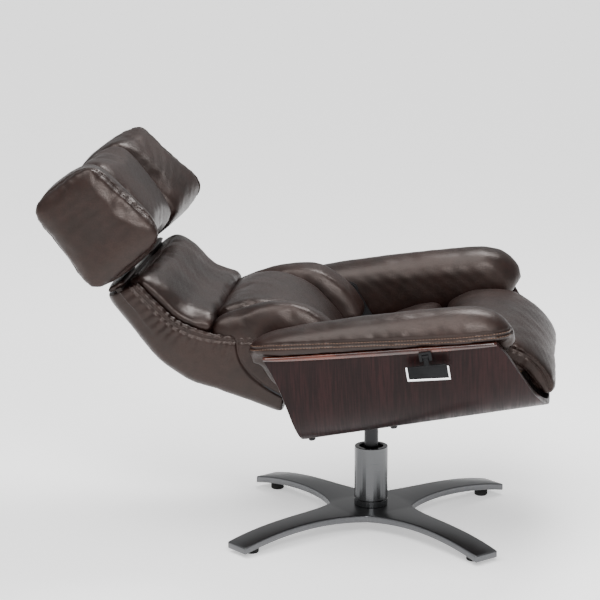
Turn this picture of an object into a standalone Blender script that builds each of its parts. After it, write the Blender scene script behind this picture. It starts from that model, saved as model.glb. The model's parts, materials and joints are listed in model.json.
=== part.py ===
"""Reclining lounge armchair: star base, swivel column, bentwood shell, reclining back, headrest.

Units are metres, +Z is up, +X is the way the sitter faces and +Y is the sitter's left.
Everything on the column is drawn in the shell's own frame, which leans back: u runs forward
along the shell's floor, y is the sitter's left and w is square to the floor, with u = w = 0
where the swivel axis meets the underside of the shell. The pose is the fully reclined one.
"""
import math

import bmesh
import bpy
from mathutils import Vector

# ---------------------------------------------------------------- general fits
TOUCH = 0.0003            # gap between pieces that bear on each other
RUN = 0.0005              # gap between pieces that turn or slide on each other
SOFT = 0.0015             # gap between neighbouring cushions
HOLE_CLEAR = 0.0005       # radial clearance of a bolt in its hole

# ---------------------------------------------------------------- shell
SHELL_HEIGHT = 0.250      # floor to the underside of the shell, on the swivel axis
SHELL_LEAN = math.radians(10.2)
SHELL_THICK = 0.012
RIM_REAR_U = -0.150
RIM_FRONT_U = 0.297
RIM_REAR_W = 0.203
RIM_FRONT_W = 0.166
FLOOR_REAR_U = -0.120
FLOOR_FRONT_U = 0.370

# ---------------------------------------------------------------- arms
ARM_INNER = 0.240         # half the clear width between the arms
ARM_WIDTH = 0.111
ARM_OUTER = ARM_INNER + ARM_WIDTH
ARM_BOTTOM_W = 0.118
ARM_LIFT = 0.004          # pad's underside above the rim
ARM_REAR_OVER = 0.031     # pad's overhang behind and before the rim
ARM_FRONT_OVER = 0.036
ARM_RISE_REAR = 0.046     # pad's crown above the rim
ARM_RISE_FRONT = 0.068
RIM_SETBACK = 0.014       # rim's outer face inside the pad's outer side
RIM_HALF = ARM_OUTER - RIM_SETBACK
FLOOR_SETBACK = 0.065     # edge of the shell's flat floor inside the arms
FLOOR_HALF = ARM_INNER - FLOOR_SETBACK

# ---------------------------------------------------------------- base and column
STAR_RADIUS = 0.340       # swivel axis to the end of an arm
STAR_NOTCH = 0.058        # half the square of the hub between the arms
STAR_TIP_HALF = 0.024     # half width of an arm at its end
STAR_THICK = 0.011
STAR_ARCH = 0.022         # rise of an arm's middle above a straight line, and fall of its end
STAR_DROP = 0.010
STAR_SWELL = 0.010        # widening of an arm along its length
STAR_ROUND = 0.0025
HUB_TOP = 0.040           # height of the hub's upper face
GLIDE_RADIUS = 0.014
GLIDE_FROM_TIP = 0.028
GLIDE_CHAMFER = 0.002
TUBE_RADIUS = 0.0345
TUBE_WALL = 0.0095
TUBE_BORE = TUBE_RADIUS - TUBE_WALL
COLUMN_GAP = 0.084        # top of the column tube to the underside of the shell
TUBE_TOP = SHELL_HEIGHT - COLUMN_GAP
COLLAR_HEIGHT = 0.0135
PLUG_HEIGHT = 0.010
BASE_BOLT_RADIUS = 0.006
BASE_BOLT_HEAD = 0.006
SPINDLE_RADIUS = 0.0145
BUSH_HEIGHT = 0.022
BUSH_RECESS = 0.006
FLANGE_HEIGHT = 0.004     # thrust flange of the lower bush
CIRCLIP_DROP = 0.0015
CIRCLIP_REACH = 0.0045
CIRCLIP_THICK = 0.0015

# ---------------------------------------------------------------- mounting plate and bolts
PLATE_THICK = 0.006
PLATE_HALF_U = 0.085
PLATE_HALF_Y = 0.095
PLATE_BOLT_U = 0.066
PLATE_BOLT_Y = 0.074
SOCKET_WALL = 0.0075
SOCKET_RADIUS = SPINDLE_RADIUS + SOCKET_WALL
SOCKET_DEPTH = 0.032
SPINDLE_STOP = 0.0112     # end of the spindle above the socket's middle plane
BOLT_RADIUS = 0.003
BOLT_HEAD_RADIUS = 0.007
BOLT_HEAD = 0.0045
BOLT_BLIND = 0.001        # bolt's end below the shell's inner face
BOLT_STAND = 0.003        # foot bolt's end above the bracket's foot

# ---------------------------------------------------------------- recline axis
PIVOT_U = -0.030
PIVOT_W = 0.200
RECLINE_RANGE = math.radians(34.0)
PIN_RADIUS = 0.006
LUG_RADIUS = 0.017
BRACKET_THICK = 0.004
BRACKET_GAP = 0.0015      # bracket to the arm's lining
BRACKET_INNER = ARM_INNER - BRACKET_GAP - BRACKET_THICK
FOOT_REAR_U = -0.118
FOOT_FRONT_U = 0.076
FOOT_THICK = 0.004
FOOT_TAPER = 0.030        # bracket's root shorter than its foot at each end
FOOT_BOLT_U = (-0.105, 0.060)
FOOT_BOLT_SIDE = 0.013    # foot's bolts and inner edge outside the shell's flat floor
FOOT_EDGE_SIDE = 0.0025
FOOT_BOLT_Y = FLOOR_HALF + FOOT_BOLT_SIDE
FOOT_INNER_Y = FLOOR_HALF + FOOT_EDGE_SIDE

# ---------------------------------------------------------------- back
SIDE_PLATE = 0.004
HINGE_ROOM = 0.0105       # side plate to the hinge bracket
BACK_OVERLAP = 0.006      # upper back wider than the space between the arms
BACK_HALF_WIDE = ARM_INNER + BACK_OVERLAP
BACK_HALF_NARROW = BRACKET_INNER - HINGE_ROOM - SIDE_PLATE - SOFT
LUMBAR_HALF = 0.132
REAR_PAD = 0.030
BOARD = 0.012
BOARD_INSET = 0.004       # board's side edge inside the cushions
SEAM_SHARE = 0.97         # the upper cushion's end, from the third to the fourth level
CROSS_TUBE_RADIUS = 0.011
CROSS_TUBE_WALL = 0.004   # side plate's edge round the cross tube
CROSS_TUBE_U = -0.060
CROSS_TUBE_W = 0.075
# rear and front outlines of the back at seven levels, from the top down, as (u, w)
BACK_REAR = ((-0.458, 0.357), (-0.421, 0.290), (-0.376, 0.212), (-0.320, 0.155),
             (-0.262, 0.117), (-0.200, 0.083), (-0.150, 0.053))
BACK_FRONT = ((-0.365, 0.386), (-0.333, 0.352), (-0.300, 0.302), (-0.243, 0.277),
              (-0.190, 0.268), (-0.130, 0.250), (-0.075, 0.205))
WIDE_LEVELS = 3           # levels that belong to the wide upper back
HIP_INNER = ((-0.106, 0.104), (-0.075, 0.088))
HIP_FRONT = ((-0.038, 0.160), (-0.032, 0.117))
WING_FRONT = ((-0.240, 0.286), (-0.172, 0.293), (-0.105, 0.288), (-0.040, 0.254),
              (0.004, 0.200), (0.006, 0.166))
WING_INNER_LOW = ((-0.066, 0.160), (-0.040, 0.140))

# ---------------------------------------------------------------- headrest
HEAD_LEAN = math.radians(27.2)     # from the shell's w axis
HEAD_CORNER = (-0.460, 0.372)      # lower rear corner
HEAD_HEIGHT = 0.196
HEAD_DEPTH = 0.130                 # at the middle
HEAD_WING_LOW = 0.178              # depth at the wings, bottom and top
HEAD_WING_HIGH = 0.160
HEAD_HALF = 0.290
HEAD_MIDDLE = 0.130                # half width of the middle cushion
HEAD_REAR_PAD = 0.029
HEAD_BOARD = 0.012
HEAD_BOARD_SIDE = 0.020            # board's side edge and upper edge inside the cushions
HEAD_BOARD_TOP = 0.012
HEAD_AXIS_DROP = 0.010             # hinge axis below the headrest
HEAD_ROD_RADIUS = 0.004
HEAD_EAR_RADIUS = 0.008
HEAD_EAR_THICK = 0.005
HEAD_EAR_Y = 0.075
HEAD_BASE_THICK = 0.003
HEAD_LEAF_STEP = 0.0033            # a leaf's outer face beyond the headrest's lower end

# ---------------------------------------------------------------- seat
SEAT_SIDE_ROOM = 0.0055   # seat to the hinge bracket
SEAT_HALF = BRACKET_INNER - SEAT_SIDE_ROOM
SEAT_PAN = 0.011
SEAT_PAN_REAR_U = 0.037
SEAT_PAN_FRONT_U = 0.325
SEAT_PAN_SETBACK = 0.017
SEAT_SEAM_U = 0.166       # where the rear and the front cushion meet
SEAT_REAR_U = -0.026
SEAT_TRAVEL = 0.035
RAIL_WIDTH = 0.030
RAIL_WALL = 0.003
RAIL_HEIGHT = 0.024
RAIL_REAR_U = 0.010
RAIL_FRONT_U = 0.310
RAIL_STOP = 0.004         # room left at the ends of a rail
RAIL_Y = FLOOR_HALF - 0.5 * RAIL_WIDTH
RUNNER_HEIGHT = 0.0504
RUNNER_LOW = SHELL_THICK + TOUCH + RAIL_WALL + RUN
SEAT_BOTTOM_W = RUNNER_LOW + RUNNER_HEIGHT + TOUCH + SEAT_PAN + SOFT

# ---------------------------------------------------------------- gas spring
SPRING_LIFT = 0.0413      # the spring's line above the shell's inner face
SPRING_W = SHELL_THICK + SPRING_LIFT
SPRING_FRONT_U = 0.285
SPRING_PIN_RADIUS = 0.004
SPRING_PIN_PROUD = 0.002
EYE_HALF = 0.007
EYE_WALL = 0.004
PIN_SLACK = 0.0005
CYLINDER_RADIUS = 0.011
CYLINDER_BORE = 0.0075
CYLINDER_HEAD = 0.008     # thickness of the end that guides the rod
CYLINDER_BLIND = 0.014    # thickness of the closed end
CHAMBER = 0.053           # cylinder's length past the rod's end
ROD_RADIUS = 0.005
ROD_ENGAGE = 0.0173       # rod still inside the cylinder when the back is upright
CRANK_HALF = 0.013
CRANK_ARM = 0.0095        # half width of the crank
SLOT_DEPTH = 0.003        # room between an eye and the bottom of its slot
HALF_SWING = 0.5 * RECLINE_RANGE
# the crank swings evenly to both sides of straight down, and its pin's mean height is the line's
CRANK_RADIUS = (PIVOT_W - SPRING_W) / (0.5 * (1.0 + math.cos(HALF_SWING)))
PIN_PLAY = 0.5 * CRANK_RADIUS * (1.0 - math.cos(HALF_SWING)) + PIN_SLACK
STROKE = 2.0 * CRANK_RADIUS * math.sin(HALF_SWING)
ROD_INSERT = STROKE + ROD_ENGAGE
CYLINDER_LENGTH = ROD_INSERT + CHAMBER

# ---------------------------------------------------------------- lever
LEVER_U = 0.160
LEVER_DROP = 0.0113       # lever's axis below the shell's rim
LEVER_SIDE = 0.0075       # lever's plane outside the rim
LEVER_Y = RIM_HALF + LEVER_SIDE
BOSS_GAP = 0.0015         # boss to the shell's wall
BOSS_OUT = 0.0055         # boss's face outside the lever's plane
BOSS_WALL = 0.0015
SPIGOT_RADIUS = 0.004
SPIGOT_LENGTH = 0.0145
BOSS_HALF_U = 0.012
BOSS_HALF_W = 0.0085
HUB_HALF_U = 0.006
LEVER_HUB_RADIUS = 0.004
LEVER_PIN_RADIUS = 0.0015
STEM_HALF = 0.0045
PADDLE_HALF_U = 0.041
PADDLE_TOP = 0.016        # paddle's upper and lower edge below the lever's axis
PADDLE_BOTTOM = 0.047
PADDLE_THICK = 0.006
PADDLE_SLOPE = 0.10       # the paddle's fall toward the front, per metre
TRIM_WIDTH = 0.0035
TRIM_LIP = 0.004          # trim's ends below the paddle's upper edge
TRIM_PROUD = 0.0008
STEM_THICK_HALF = 0.002

ROUND = 28                # sides of a turned piece
FINE = 16                 # sides of a small turned piece

MATERIALS = {
    "leather": ((0.045, 0.026, 0.020), 0.42, 0.0),
    "lining": ((0.020, 0.016, 0.015), 0.80, 0.0),
    "wenge": ((0.060, 0.020, 0.016), 0.30, 0.0),
    "birch_ply": ((0.450, 0.330, 0.210), 0.60, 0.0),
    "gunmetal": ((0.230, 0.230, 0.235), 0.34, 1.0),
    "black_steel": ((0.030, 0.030, 0.032), 0.40, 0.7),
    "zinc_steel": ((0.480, 0.480, 0.470), 0.38, 1.0),
    "chrome": ((0.780, 0.780, 0.790), 0.12, 1.0),
    "black_plastic": ((0.022, 0.022, 0.024), 0.50, 0.0),
    "rubber": ((0.018, 0.018, 0.018), 0.85, 0.0),
}


# ================================================================ scene helpers
def clear_scene():
    """Remove every object that is in the file."""
    for obj in list(bpy.data.objects):
        bpy.data.objects.remove(obj, do_unlink=True)


def material(name):
    """Return the named material, made on first use."""
    found = bpy.data.materials.get(name)
    if found:
        return found
    colour, roughness, metallic = MATERIALS[name]
    made = bpy.data.materials.new(name)
    made.use_nodes = True
    shader = made.node_tree.nodes["Principled BSDF"]
    shader.inputs["Base Color"].default_value = (*colour, 1.0)
    shader.inputs["Roughness"].default_value = roughness
    shader.inputs["Metallic"].default_value = metallic
    made.diffuse_color = (*colour, 1.0)
    return made


class Frame:
    """An empty on a joint's axis, and where it stands in the coordinates its pieces use."""

    def __init__(self, name, parent=None, origin=(0.0, 0.0, 0.0), lean=0.0):
        self.origin = Vector(origin)
        self.empty = bpy.data.objects.new(name, None)
        bpy.context.scene.collection.objects.link(self.empty)
        before = Vector((0.0, 0.0, 0.0))
        if parent:
            self.empty.parent = parent.empty
            before = parent.origin
        self.empty.location = self.origin - before
        self.empty.rotation_euler = (0.0, -lean, 0.0)

    def restart(self):
        """Count the coordinates of what follows from this frame's own origin."""
        self.origin = Vector((0.0, 0.0, 0.0))
        return self


def place(name, bm, frame, slot):
    """Turn a bmesh, drawn in the frame's coordinates, into an object in that frame."""
    bmesh.ops.translate(bm, verts=bm.verts, vec=-frame.origin)
    bmesh.ops.recalc_face_normals(bm, faces=bm.faces)
    mesh = bpy.data.meshes.new(name)
    bm.to_mesh(mesh)
    bm.free()
    mesh.shade_smooth()
    mesh.set_sharp_from_angle(angle=math.radians(35.0))
    obj = bpy.data.objects.new(name, mesh)
    bpy.context.scene.collection.objects.link(obj)
    obj.parent = frame.empty
    if slot:
        mesh.materials.append(material(slot))
    return obj


def bevel(obj, width, segments=2):
    """Round the sharp edges of an object."""
    mod = obj.modifiers.new("edge_round", "BEVEL")
    mod.width = width
    mod.segments = segments
    mod.limit_method = "ANGLE"
    mod.angle_limit = math.radians(50.0)
    return obj


def combine(obj, helper, operation):
    """Combine an object with a helper solid, which is then hidden."""
    helper.hide_render = True
    helper.display_type = "WIRE"
    mod = obj.modifiers.new(helper.name, "BOOLEAN")
    mod.operation = operation
    mod.solver = "EXACT"
    mod.object = helper
    return obj


def cut(obj, cutter):
    """Subtract a cutter."""
    return combine(obj, cutter, "DIFFERENCE")


def weld(obj, other):
    """Join a solid that reaches into the object."""
    return combine(obj, other, "UNION")


# ================================================================ mesh helpers
def loft(loops):
    """Skin closed loops of equal length, one after the other, and close both ends."""
    bm = bmesh.new()
    rings = [[bm.verts.new(point) for point in loop] for loop in loops]
    count = len(rings[0])
    for first, second in zip(rings, rings[1:]):
        for i in range(count):
            j = (i + 1) % count
            bm.faces.new((first[i], first[j], second[j], second[i]))
    bm.faces.new(rings[0][::-1])
    bm.faces.new(rings[-1])
    return bm


def inset(outline, distance):
    """Move the points of a closed (u, w) outline inward."""
    area = sum(a[0] * b[1] - b[0] * a[1] for a, b in zip(outline, outline[1:] + outline[:1]))
    turn = 1.0 if area > 0.0 else -1.0
    moved = []
    for before, here, after in zip(outline[-1:] + outline[:-1], outline, outline[1:] + outline[:1]):
        along = Vector((after[0] - before[0], after[1] - before[1])).normalized()
        moved.append((here[0] - turn * along.y * distance, here[1] + turn * along.x * distance))
    return moved


def prism(outline, y_low, y_high, chamfer=0.0):
    """Extrude a (u, w) outline along y, with softened ends if a chamfer is given."""
    outline = list(outline)
    steps = [(y_low, 0.0), (y_high, 0.0)]
    if chamfer:
        steps = [(y_low, chamfer), (y_low + 0.3 * chamfer, 0.35 * chamfer), (y_low + chamfer, 0.0),
                 (y_high - chamfer, 0.0), (y_high - 0.3 * chamfer, 0.35 * chamfer), (y_high, chamfer)]
    loops = []
    for y, distance in steps:
        ring = inset(outline, distance) if distance else outline
        loops.append([(u, y, w) for u, w in ring])
    return loft(loops)


def box(u_low, u_high, y_low, y_high, w_low, w_high):
    """A rectangular block."""
    return prism([(u_low, w_low), (u_high, w_low), (u_high, w_high), (u_low, w_high)], y_low, y_high)


def turned(profile, centre, axis="Z", steps=ROUND):
    """Turn a closed (radius, along) profile about a line through the centre.

    Points of radius 0 lie on the axis; a profile without them makes a ring.
    """
    along_index = "XYZ".index(axis)
    first_index = (along_index + 1) % 3
    second_index = (along_index + 2) % 3
    bm = bmesh.new()
    rings = []
    for radius, along in profile:
        ring = []
        for i in range(steps if radius > 0.0 else 1):
            angle = 2.0 * math.pi * i / steps
            point = [0.0, 0.0, 0.0]
            point[along_index] = along
            point[first_index] = radius * math.cos(angle)
            point[second_index] = radius * math.sin(angle)
            ring.append(bm.verts.new(Vector(point) + Vector(centre)))
        rings.append(ring)
    for first, second in zip(rings, rings[1:] + rings[:1]):
        if len(first) == 1 and len(second) == 1:
            continue
        for i in range(steps):
            j = (i + 1) % steps
            corners = [first[i % len(first)], first[j % len(first)],
                       second[j % len(second)], second[i % len(second)]]
            bm.faces.new(list(dict.fromkeys(corners)))
    return bm


def rod(radius, low, high, centre, axis="Y", steps=FINE):
    """A plain round bar."""
    return turned([(0.0, low), (radius, low), (radius, high), (0.0, high)], centre, axis, steps)


def tube(outer, inner, low, high, centre=(0.0, 0.0, 0.0), axis="Z", steps=ROUND):
    """A plain ring or sleeve."""
    return turned([(inner, low), (outer, low), (outer, high), (inner, high)], centre, axis, steps)


def hole(name, radius, low, high, centre, axis, frame):
    """A round cutter."""
    return place(name, rod(radius, low, high, centre, axis), frame, None)


def arc(centre, radius, start, end, count):
    """Points on an arc in the (u, w) plane; angles in degrees."""
    points = []
    for i in range(count):
        angle = math.radians(start + (end - start) * i / (count - 1))
        points.append((centre[0] + radius * math.cos(angle), centre[1] + radius * math.sin(angle)))
    return points


def bezier(a, b, c, d, t):
    """One coordinate of a cubic curve."""
    s = 1.0 - t
    return s * s * s * a + 3.0 * s * s * t * b + 3.0 * s * t * t * c + t * t * t * d


def between(a, b, t):
    """A value or a (u, w) point a share t of the way from a to b."""
    if isinstance(a, tuple):
        return (a[0] + (b[0] - a[0]) * t, a[1] + (b[1] - a[1]) * t)
    return a + (b - a) * t


# ================================================================ base
def star_rows():
    """Half width and top height of a base arm at each distance from the swivel axis."""
    rows = []
    reach = STAR_RADIUS - STAR_NOTCH
    for share in (0.0, 0.08, 0.2, 0.4, 0.6, 0.8, 0.92, 1.0):
        flare = (STAR_NOTCH - STAR_TIP_HALF) * (1.0 - share) ** 6
        taper = STAR_SWELL * (1.0 - share) * share
        arch = STAR_ARCH * share * (1.0 - share) - STAR_DROP * share ** 3
        rows.append((STAR_NOTCH + reach * share, STAR_TIP_HALF + flare + taper, HUB_TOP + arch))
    return rows


def build_star(frame):
    """The cast four-armed base plate."""
    bm = bmesh.new()
    rows = star_rows()
    levels = []
    for drop in (0.0, STAR_THICK):
        arms = []
        for quarter in range(4):
            turn = math.radians(45.0 + 90.0 * quarter)
            along = Vector((math.cos(turn), math.sin(turn), 0.0))
            across = Vector((-math.sin(turn), math.cos(turn), 0.0))
            arm = []
            for reach, half, top in rows[1:]:
                up = Vector((0.0, 0.0, top - drop))
                arm.append((bm.verts.new(along * reach - across * half + up),
                            bm.verts.new(along * reach + across * half + up)))
            arms.append(arm)
        notches = []
        for quarter in range(4):
            turn = math.radians(90.0 * quarter)
            reach = STAR_NOTCH * math.sqrt(2.0)
            notches.append(bm.verts.new((reach * math.cos(turn), reach * math.sin(turn), HUB_TOP - drop)))
        levels.append((arms, notches))
    for arms, notches in levels:
        bm.faces.new(notches)
        for quarter, arm in enumerate(arms):
            pairs = [(notches[quarter], notches[(quarter + 1) % 4])] + arm
            for (a, b), (c, d) in zip(pairs, pairs[1:]):
                bm.faces.new((a, c, d, b))
    (top_arms, top_notches), (low_arms, low_notches) = levels
    for quarter in range(4):
        following = (quarter + 1) % 4
        right = [top_notches[quarter]] + [pair[0] for pair in top_arms[quarter]]
        right_low = [low_notches[quarter]] + [pair[0] for pair in low_arms[quarter]]
        left = [top_notches[following]] + [pair[1] for pair in top_arms[quarter]]
        left_low = [low_notches[following]] + [pair[1] for pair in low_arms[quarter]]
        for upper, lower in ((right, right_low), (left, left_low)):
            for i in range(len(upper) - 1):
                bm.faces.new((upper[i], upper[i + 1], lower[i + 1], lower[i]))
        bm.faces.new((right[-1], left[-1], left_low[-1], right_low[-1]))
    star = place("base_star", bm, frame, "gunmetal")
    bevel(star, STAR_ROUND)
    low = HUB_TOP - 2.0 * STAR_THICK
    bore = BASE_BOLT_RADIUS + HOLE_CLEAR
    cut(star, hole("star_bore", bore, low, HUB_TOP + STAR_THICK, (0, 0, 0), "Z", frame))


def build_glides(frame):
    """A rubber glide under the end of each base arm."""
    reach = STAR_RADIUS - GLIDE_FROM_TIP
    tops = [(row[0], row[2]) for row in star_rows()]
    for (r_low, z_low), (r_high, z_high) in zip(tops, tops[1:]):
        if r_low <= reach - GLIDE_RADIUS <= r_high:
            inner_top = between(z_low, z_high, (reach - GLIDE_RADIUS - r_low) / (r_high - r_low))
    height = min(inner_top, tops[-1][1]) - STAR_THICK - TOUCH
    for quarter in range(4):
        turn = math.radians(45.0 + 90.0 * quarter)
        profile = [(0.0, 0.0), (GLIDE_RADIUS - GLIDE_CHAMFER, 0.0), (GLIDE_RADIUS, GLIDE_CHAMFER),
                   (GLIDE_RADIUS, height), (0.0, height)]
        centre = (reach * math.cos(turn), reach * math.sin(turn), 0.0)
        place("foot_glide_%d" % (quarter + 1), turned(profile, centre, "Z", FINE), frame, "rubber")


def build_column(frame):
    """The column's fixed pieces, from the hub up."""
    collar_low = HUB_TOP + TOUCH
    collar_high = collar_low + COLLAR_HEIGHT
    bolt_hole = BASE_BOLT_RADIUS + HOLE_CLEAR
    tube_low = collar_high + TOUCH
    plug_high = tube_low + PLUG_HEIGHT
    plug_radius = TUBE_BORE - TOUCH
    profile = [(bolt_hole, collar_low), (TUBE_RADIUS, collar_low), (TUBE_RADIUS, collar_high),
               (plug_radius, collar_high), (plug_radius, plug_high), (bolt_hole, plug_high)]
    bevel(place("column_collar", turned(profile, (0, 0, 0)), frame, "gunmetal"), 0.0008, 1)
    outer = tube(TUBE_RADIUS, TUBE_BORE, tube_low, TUBE_TOP)
    bevel(place("column_tube", outer, frame, "gunmetal"), 0.0012, 2)
    head_high = HUB_TOP - STAR_THICK - TOUCH
    head_low = head_high - BASE_BOLT_HEAD
    head = 2.2 * BASE_BOLT_RADIUS
    bolt_end = plug_high - BOLT_BLIND
    profile = [(0.0, head_low), (head, head_low), (head, head_high),
               (BASE_BOLT_RADIUS, head_high), (BASE_BOLT_RADIUS, bolt_end), (0.0, bolt_end)]
    place("base_bolt", turned(profile, (0, 0, 0), "Z", FINE), frame, "zinc_steel")
    flange_low = plug_high + TOUCH
    flange_high = flange_low + FLANGE_HEIGHT
    spindle_low = flange_high + RUN
    bush_outer = TUBE_BORE - TOUCH
    bush_inner = SPINDLE_RADIUS + RUN
    bush_high = flange_low + BUSH_HEIGHT
    profile = [(BASE_BOLT_RADIUS, flange_low), (bush_outer, flange_low), (bush_outer, bush_high),
               (bush_inner, bush_high), (bush_inner, flange_high), (BASE_BOLT_RADIUS, flange_high)]
    place("lower_bush", turned(profile, (0, 0, 0)), frame, "black_plastic")
    top = TUBE_TOP - BUSH_RECESS
    place("upper_bush", tube(bush_outer, bush_inner, top - BUSH_HEIGHT, top), frame, "black_plastic")
    return spindle_low, top - BUSH_HEIGHT


def build_spindle(frame, low, bush_low):
    """The turning spindle with its retaining ring."""
    groove = bush_low - CIRCLIP_DROP
    top = SHELL_HEIGHT - PLATE_THICK - SPINDLE_STOP
    place("spindle", rod(SPINDLE_RADIUS, low, top, (0, 0, 0), "Z", ROUND), frame, "black_steel")
    outer = SPINDLE_RADIUS + CIRCLIP_REACH
    ring = tube(outer, SPINDLE_RADIUS + TOUCH, groove - CIRCLIP_THICK, groove)
    place("spindle_circlip", ring, frame, "zinc_steel")
    return top


def build_socket(frame, spindle_top):
    """The socket that carries the mounting plate on the spindle; its top follows the plate."""
    steps = ROUND
    lean = math.tan(SHELL_LEAN)
    plate_under = SHELL_HEIGHT - (PLATE_THICK + 2.0 * TOUCH) / math.cos(SHELL_LEAN)
    low = SHELL_HEIGHT - PLATE_THICK - SOCKET_DEPTH
    bore = SPINDLE_RADIUS + TOUCH
    outer_low = []
    outer_high = []
    bore_low = []
    bore_high = []
    for i in range(steps):
        angle = 2.0 * math.pi * i / steps
        x = math.cos(angle)
        y = math.sin(angle)
        outer_low.append((SOCKET_RADIUS * x, SOCKET_RADIUS * y, low))
        outer_high.append((SOCKET_RADIUS * x, SOCKET_RADIUS * y, plate_under + SOCKET_RADIUS * x * lean))
        bore_low.append((bore * x, bore * y, low))
        bore_high.append((bore * x, bore * y, spindle_top + TOUCH))
    place("spindle_socket", loft([bore_high, bore_low, outer_low, outer_high]), frame, "black_steel")


# ================================================================ shell
def rim_height(u):
    """Height of the shell's rim above the floor's underside."""
    return between(RIM_REAR_W, RIM_FRONT_W, (u - RIM_REAR_U) / (RIM_FRONT_U - RIM_REAR_U))


def wall_point(q):
    """Half width and share of height along the wall, from the floor (0) to the rim (1)."""
    half = bezier(FLOOR_HALF, FLOOR_HALF + 0.088, RIM_HALF - 0.038, RIM_HALF, q)
    return half, bezier(0.0, 0.0, 0.40, 1.0, q)


def shell_inner_half(w, u):
    """Half width inside the shell at a height."""
    target = min(w / rim_height(u), 1.0)
    low = 0.0
    high = 1.0
    for _ in range(30):
        middle = 0.5 * (low + high)
        if wall_point(middle)[1] < target:
            low = middle
        else:
            high = middle
    return wall_point(low)[0] - 1.15 * SHELL_THICK


def shell_inner_height(half):
    """Height of the shell's inner face at a half width, where the shell is deepest."""
    points = []
    for i in range(21):
        y, h = wall_point(0.05 * i)
        points.append(Vector((y, h * RIM_REAR_W)))
    inner = [Vector((0.0, SHELL_THICK))]
    for before, after in zip(points, points[1:]):
        along = (after - before).normalized()
        inner.append(0.5 * (before + after) + Vector((-along.y, along.x)) * SHELL_THICK)
    for before, after in zip(inner, inner[1:]):
        if before.x <= half <= after.x:
            return between(before.y, after.y, (half - before.x) / (after.x - before.x))
    return inner[-1].y


def shell_section(share):
    """One closed section of the bent shell, a share of the way from its rear to its front edge."""
    half = []
    for i in range(11):
        y, h = wall_point(i / 10.0)
        rear = bezier(FLOOR_REAR_U, FLOOR_REAR_U - 0.009, RIM_REAR_U + 0.026, RIM_REAR_U, h)
        front = bezier(FLOOR_FRONT_U, FLOOR_FRONT_U - 0.035, RIM_FRONT_U + 0.033, RIM_FRONT_U, h)
        half.append((between(rear, front, share), y, h * between(RIM_REAR_W, RIM_FRONT_W, share)))
    outer = [(u, -y, w) for u, y, w in reversed(half)]
    outer += [(half[0][0], y, 0.0) for y in (-0.4 * FLOOR_HALF, 0.4 * FLOOR_HALF)]
    outer += half
    inner = []
    for i, (u, y, w) in enumerate(outer):
        before = outer[max(i - 1, 0)]
        after = outer[min(i + 1, len(outer) - 1)]
        along = Vector((after[1] - before[1], after[2] - before[2])).normalized()
        if 0 < i < len(outer) - 1:
            inner.append((u, y - along.y * SHELL_THICK, w + along.x * SHELL_THICK))
        else:
            inner.append((u, y - SHELL_THICK / along.y, w))
    return outer + inner[::-1]


def build_shell(frame):
    """The U-shaped bentwood shell, bored for its bolts and for the lever."""
    shell = place("shell", loft([shell_section(i / 10.0) for i in range(11)]), frame, "wenge")
    spots = [(u, y) for u in (-PLATE_BOLT_U, PLATE_BOLT_U) for y in (-PLATE_BOLT_Y, PLATE_BOLT_Y)]
    spots += [(u, y) for u in FOOT_BOLT_U for y in (-FOOT_BOLT_Y, FOOT_BOLT_Y)]
    for number, (u, y) in enumerate(spots):
        label = "shell_bore_%d" % number
        cut(shell, hole(label, BOLT_RADIUS + HOLE_CLEAR, -0.01, 0.03, (u, y, 0.0), "Z", frame))
    shank = hole("lever_bore", SPIGOT_RADIUS + HOLE_CLEAR, -LEVER_Y, -RIM_HALF + 0.06,
                 (LEVER_U, 0.0, lever_height()), "Y", frame)
    cut(shell, shank)


def bolt(name, u, y, head_high, shank_high, frame):
    """A button-headed bolt with its head below."""
    head_low = head_high - BOLT_HEAD
    crown = BOLT_HEAD / 3.0
    profile = [(0.0, head_low), (BOLT_HEAD_RADIUS - crown, head_low), (BOLT_HEAD_RADIUS, head_low + crown),
               (BOLT_HEAD_RADIUS, head_high), (BOLT_RADIUS, head_high), (BOLT_RADIUS, shank_high),
               (0.0, shank_high)]
    place(name, turned(profile, (u, y, 0.0), "Z", 12), frame, "black_steel")


def build_mounting(frame):
    """The plate under the shell and its bolts, and the bolts of the hinge brackets."""
    plate_high = -TOUCH
    plate_low = plate_high - PLATE_THICK
    plate = place("mount_plate", box(-PLATE_HALF_U, PLATE_HALF_U, -PLATE_HALF_Y, PLATE_HALF_Y,
                                     plate_low, plate_high), frame, "black_steel")
    number = 0
    for u in (-PLATE_BOLT_U, PLATE_BOLT_U):
        for y in (-PLATE_BOLT_Y, PLATE_BOLT_Y):
            number += 1
            label = "plate_bore_%d" % number
            cut(plate, hole(label, BOLT_RADIUS + HOLE_CLEAR, -0.02, 0.01, (u, y, 0.0), "Z", frame))
            bolt("mount_bolt_%d" % number, u, y, plate_low - TOUCH, SHELL_THICK - BOLT_BLIND, frame)


# ================================================================ arms
def arm_loop(side, u, top, scale):
    """One closed section of an arm pad."""
    rim = rim_height(u)
    under = rim + ARM_LIFT
    bottom = ARM_BOTTOM_W
    middle = 0.5 * (rim + bottom)
    rim_inner = RIM_HALF - 1.12 * SHELL_THICK - SOFT
    points = [
        (ARM_OUTER - 0.006, under), (rim_inner - 0.001, under), (rim_inner - 0.004, rim - 0.014),
        (shell_inner_half(middle, u) - SOFT, middle), (shell_inner_half(bottom, u) - SOFT, bottom + 0.004),
        (ARM_INNER + 0.016, bottom), (ARM_INNER + 0.004, bottom + 0.010), (ARM_INNER, bottom + 0.045),
        (ARM_INNER + 0.005, top - 0.022), (ARM_INNER + 0.022, top - 0.006), (ARM_INNER + 0.052, top),
        (ARM_OUTER - 0.026, top - 0.006), (ARM_OUTER - 0.004, under + 0.024), (ARM_OUTER, under + 0.011),
    ]
    centre = (0.5 * (ARM_INNER + ARM_OUTER) + 0.004, 0.5 * (under + top))
    loop = []
    for half, w in points:
        loop.append((u, side * between(centre[0], half, scale), between(centre[1], w, scale)))
    return loop


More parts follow.
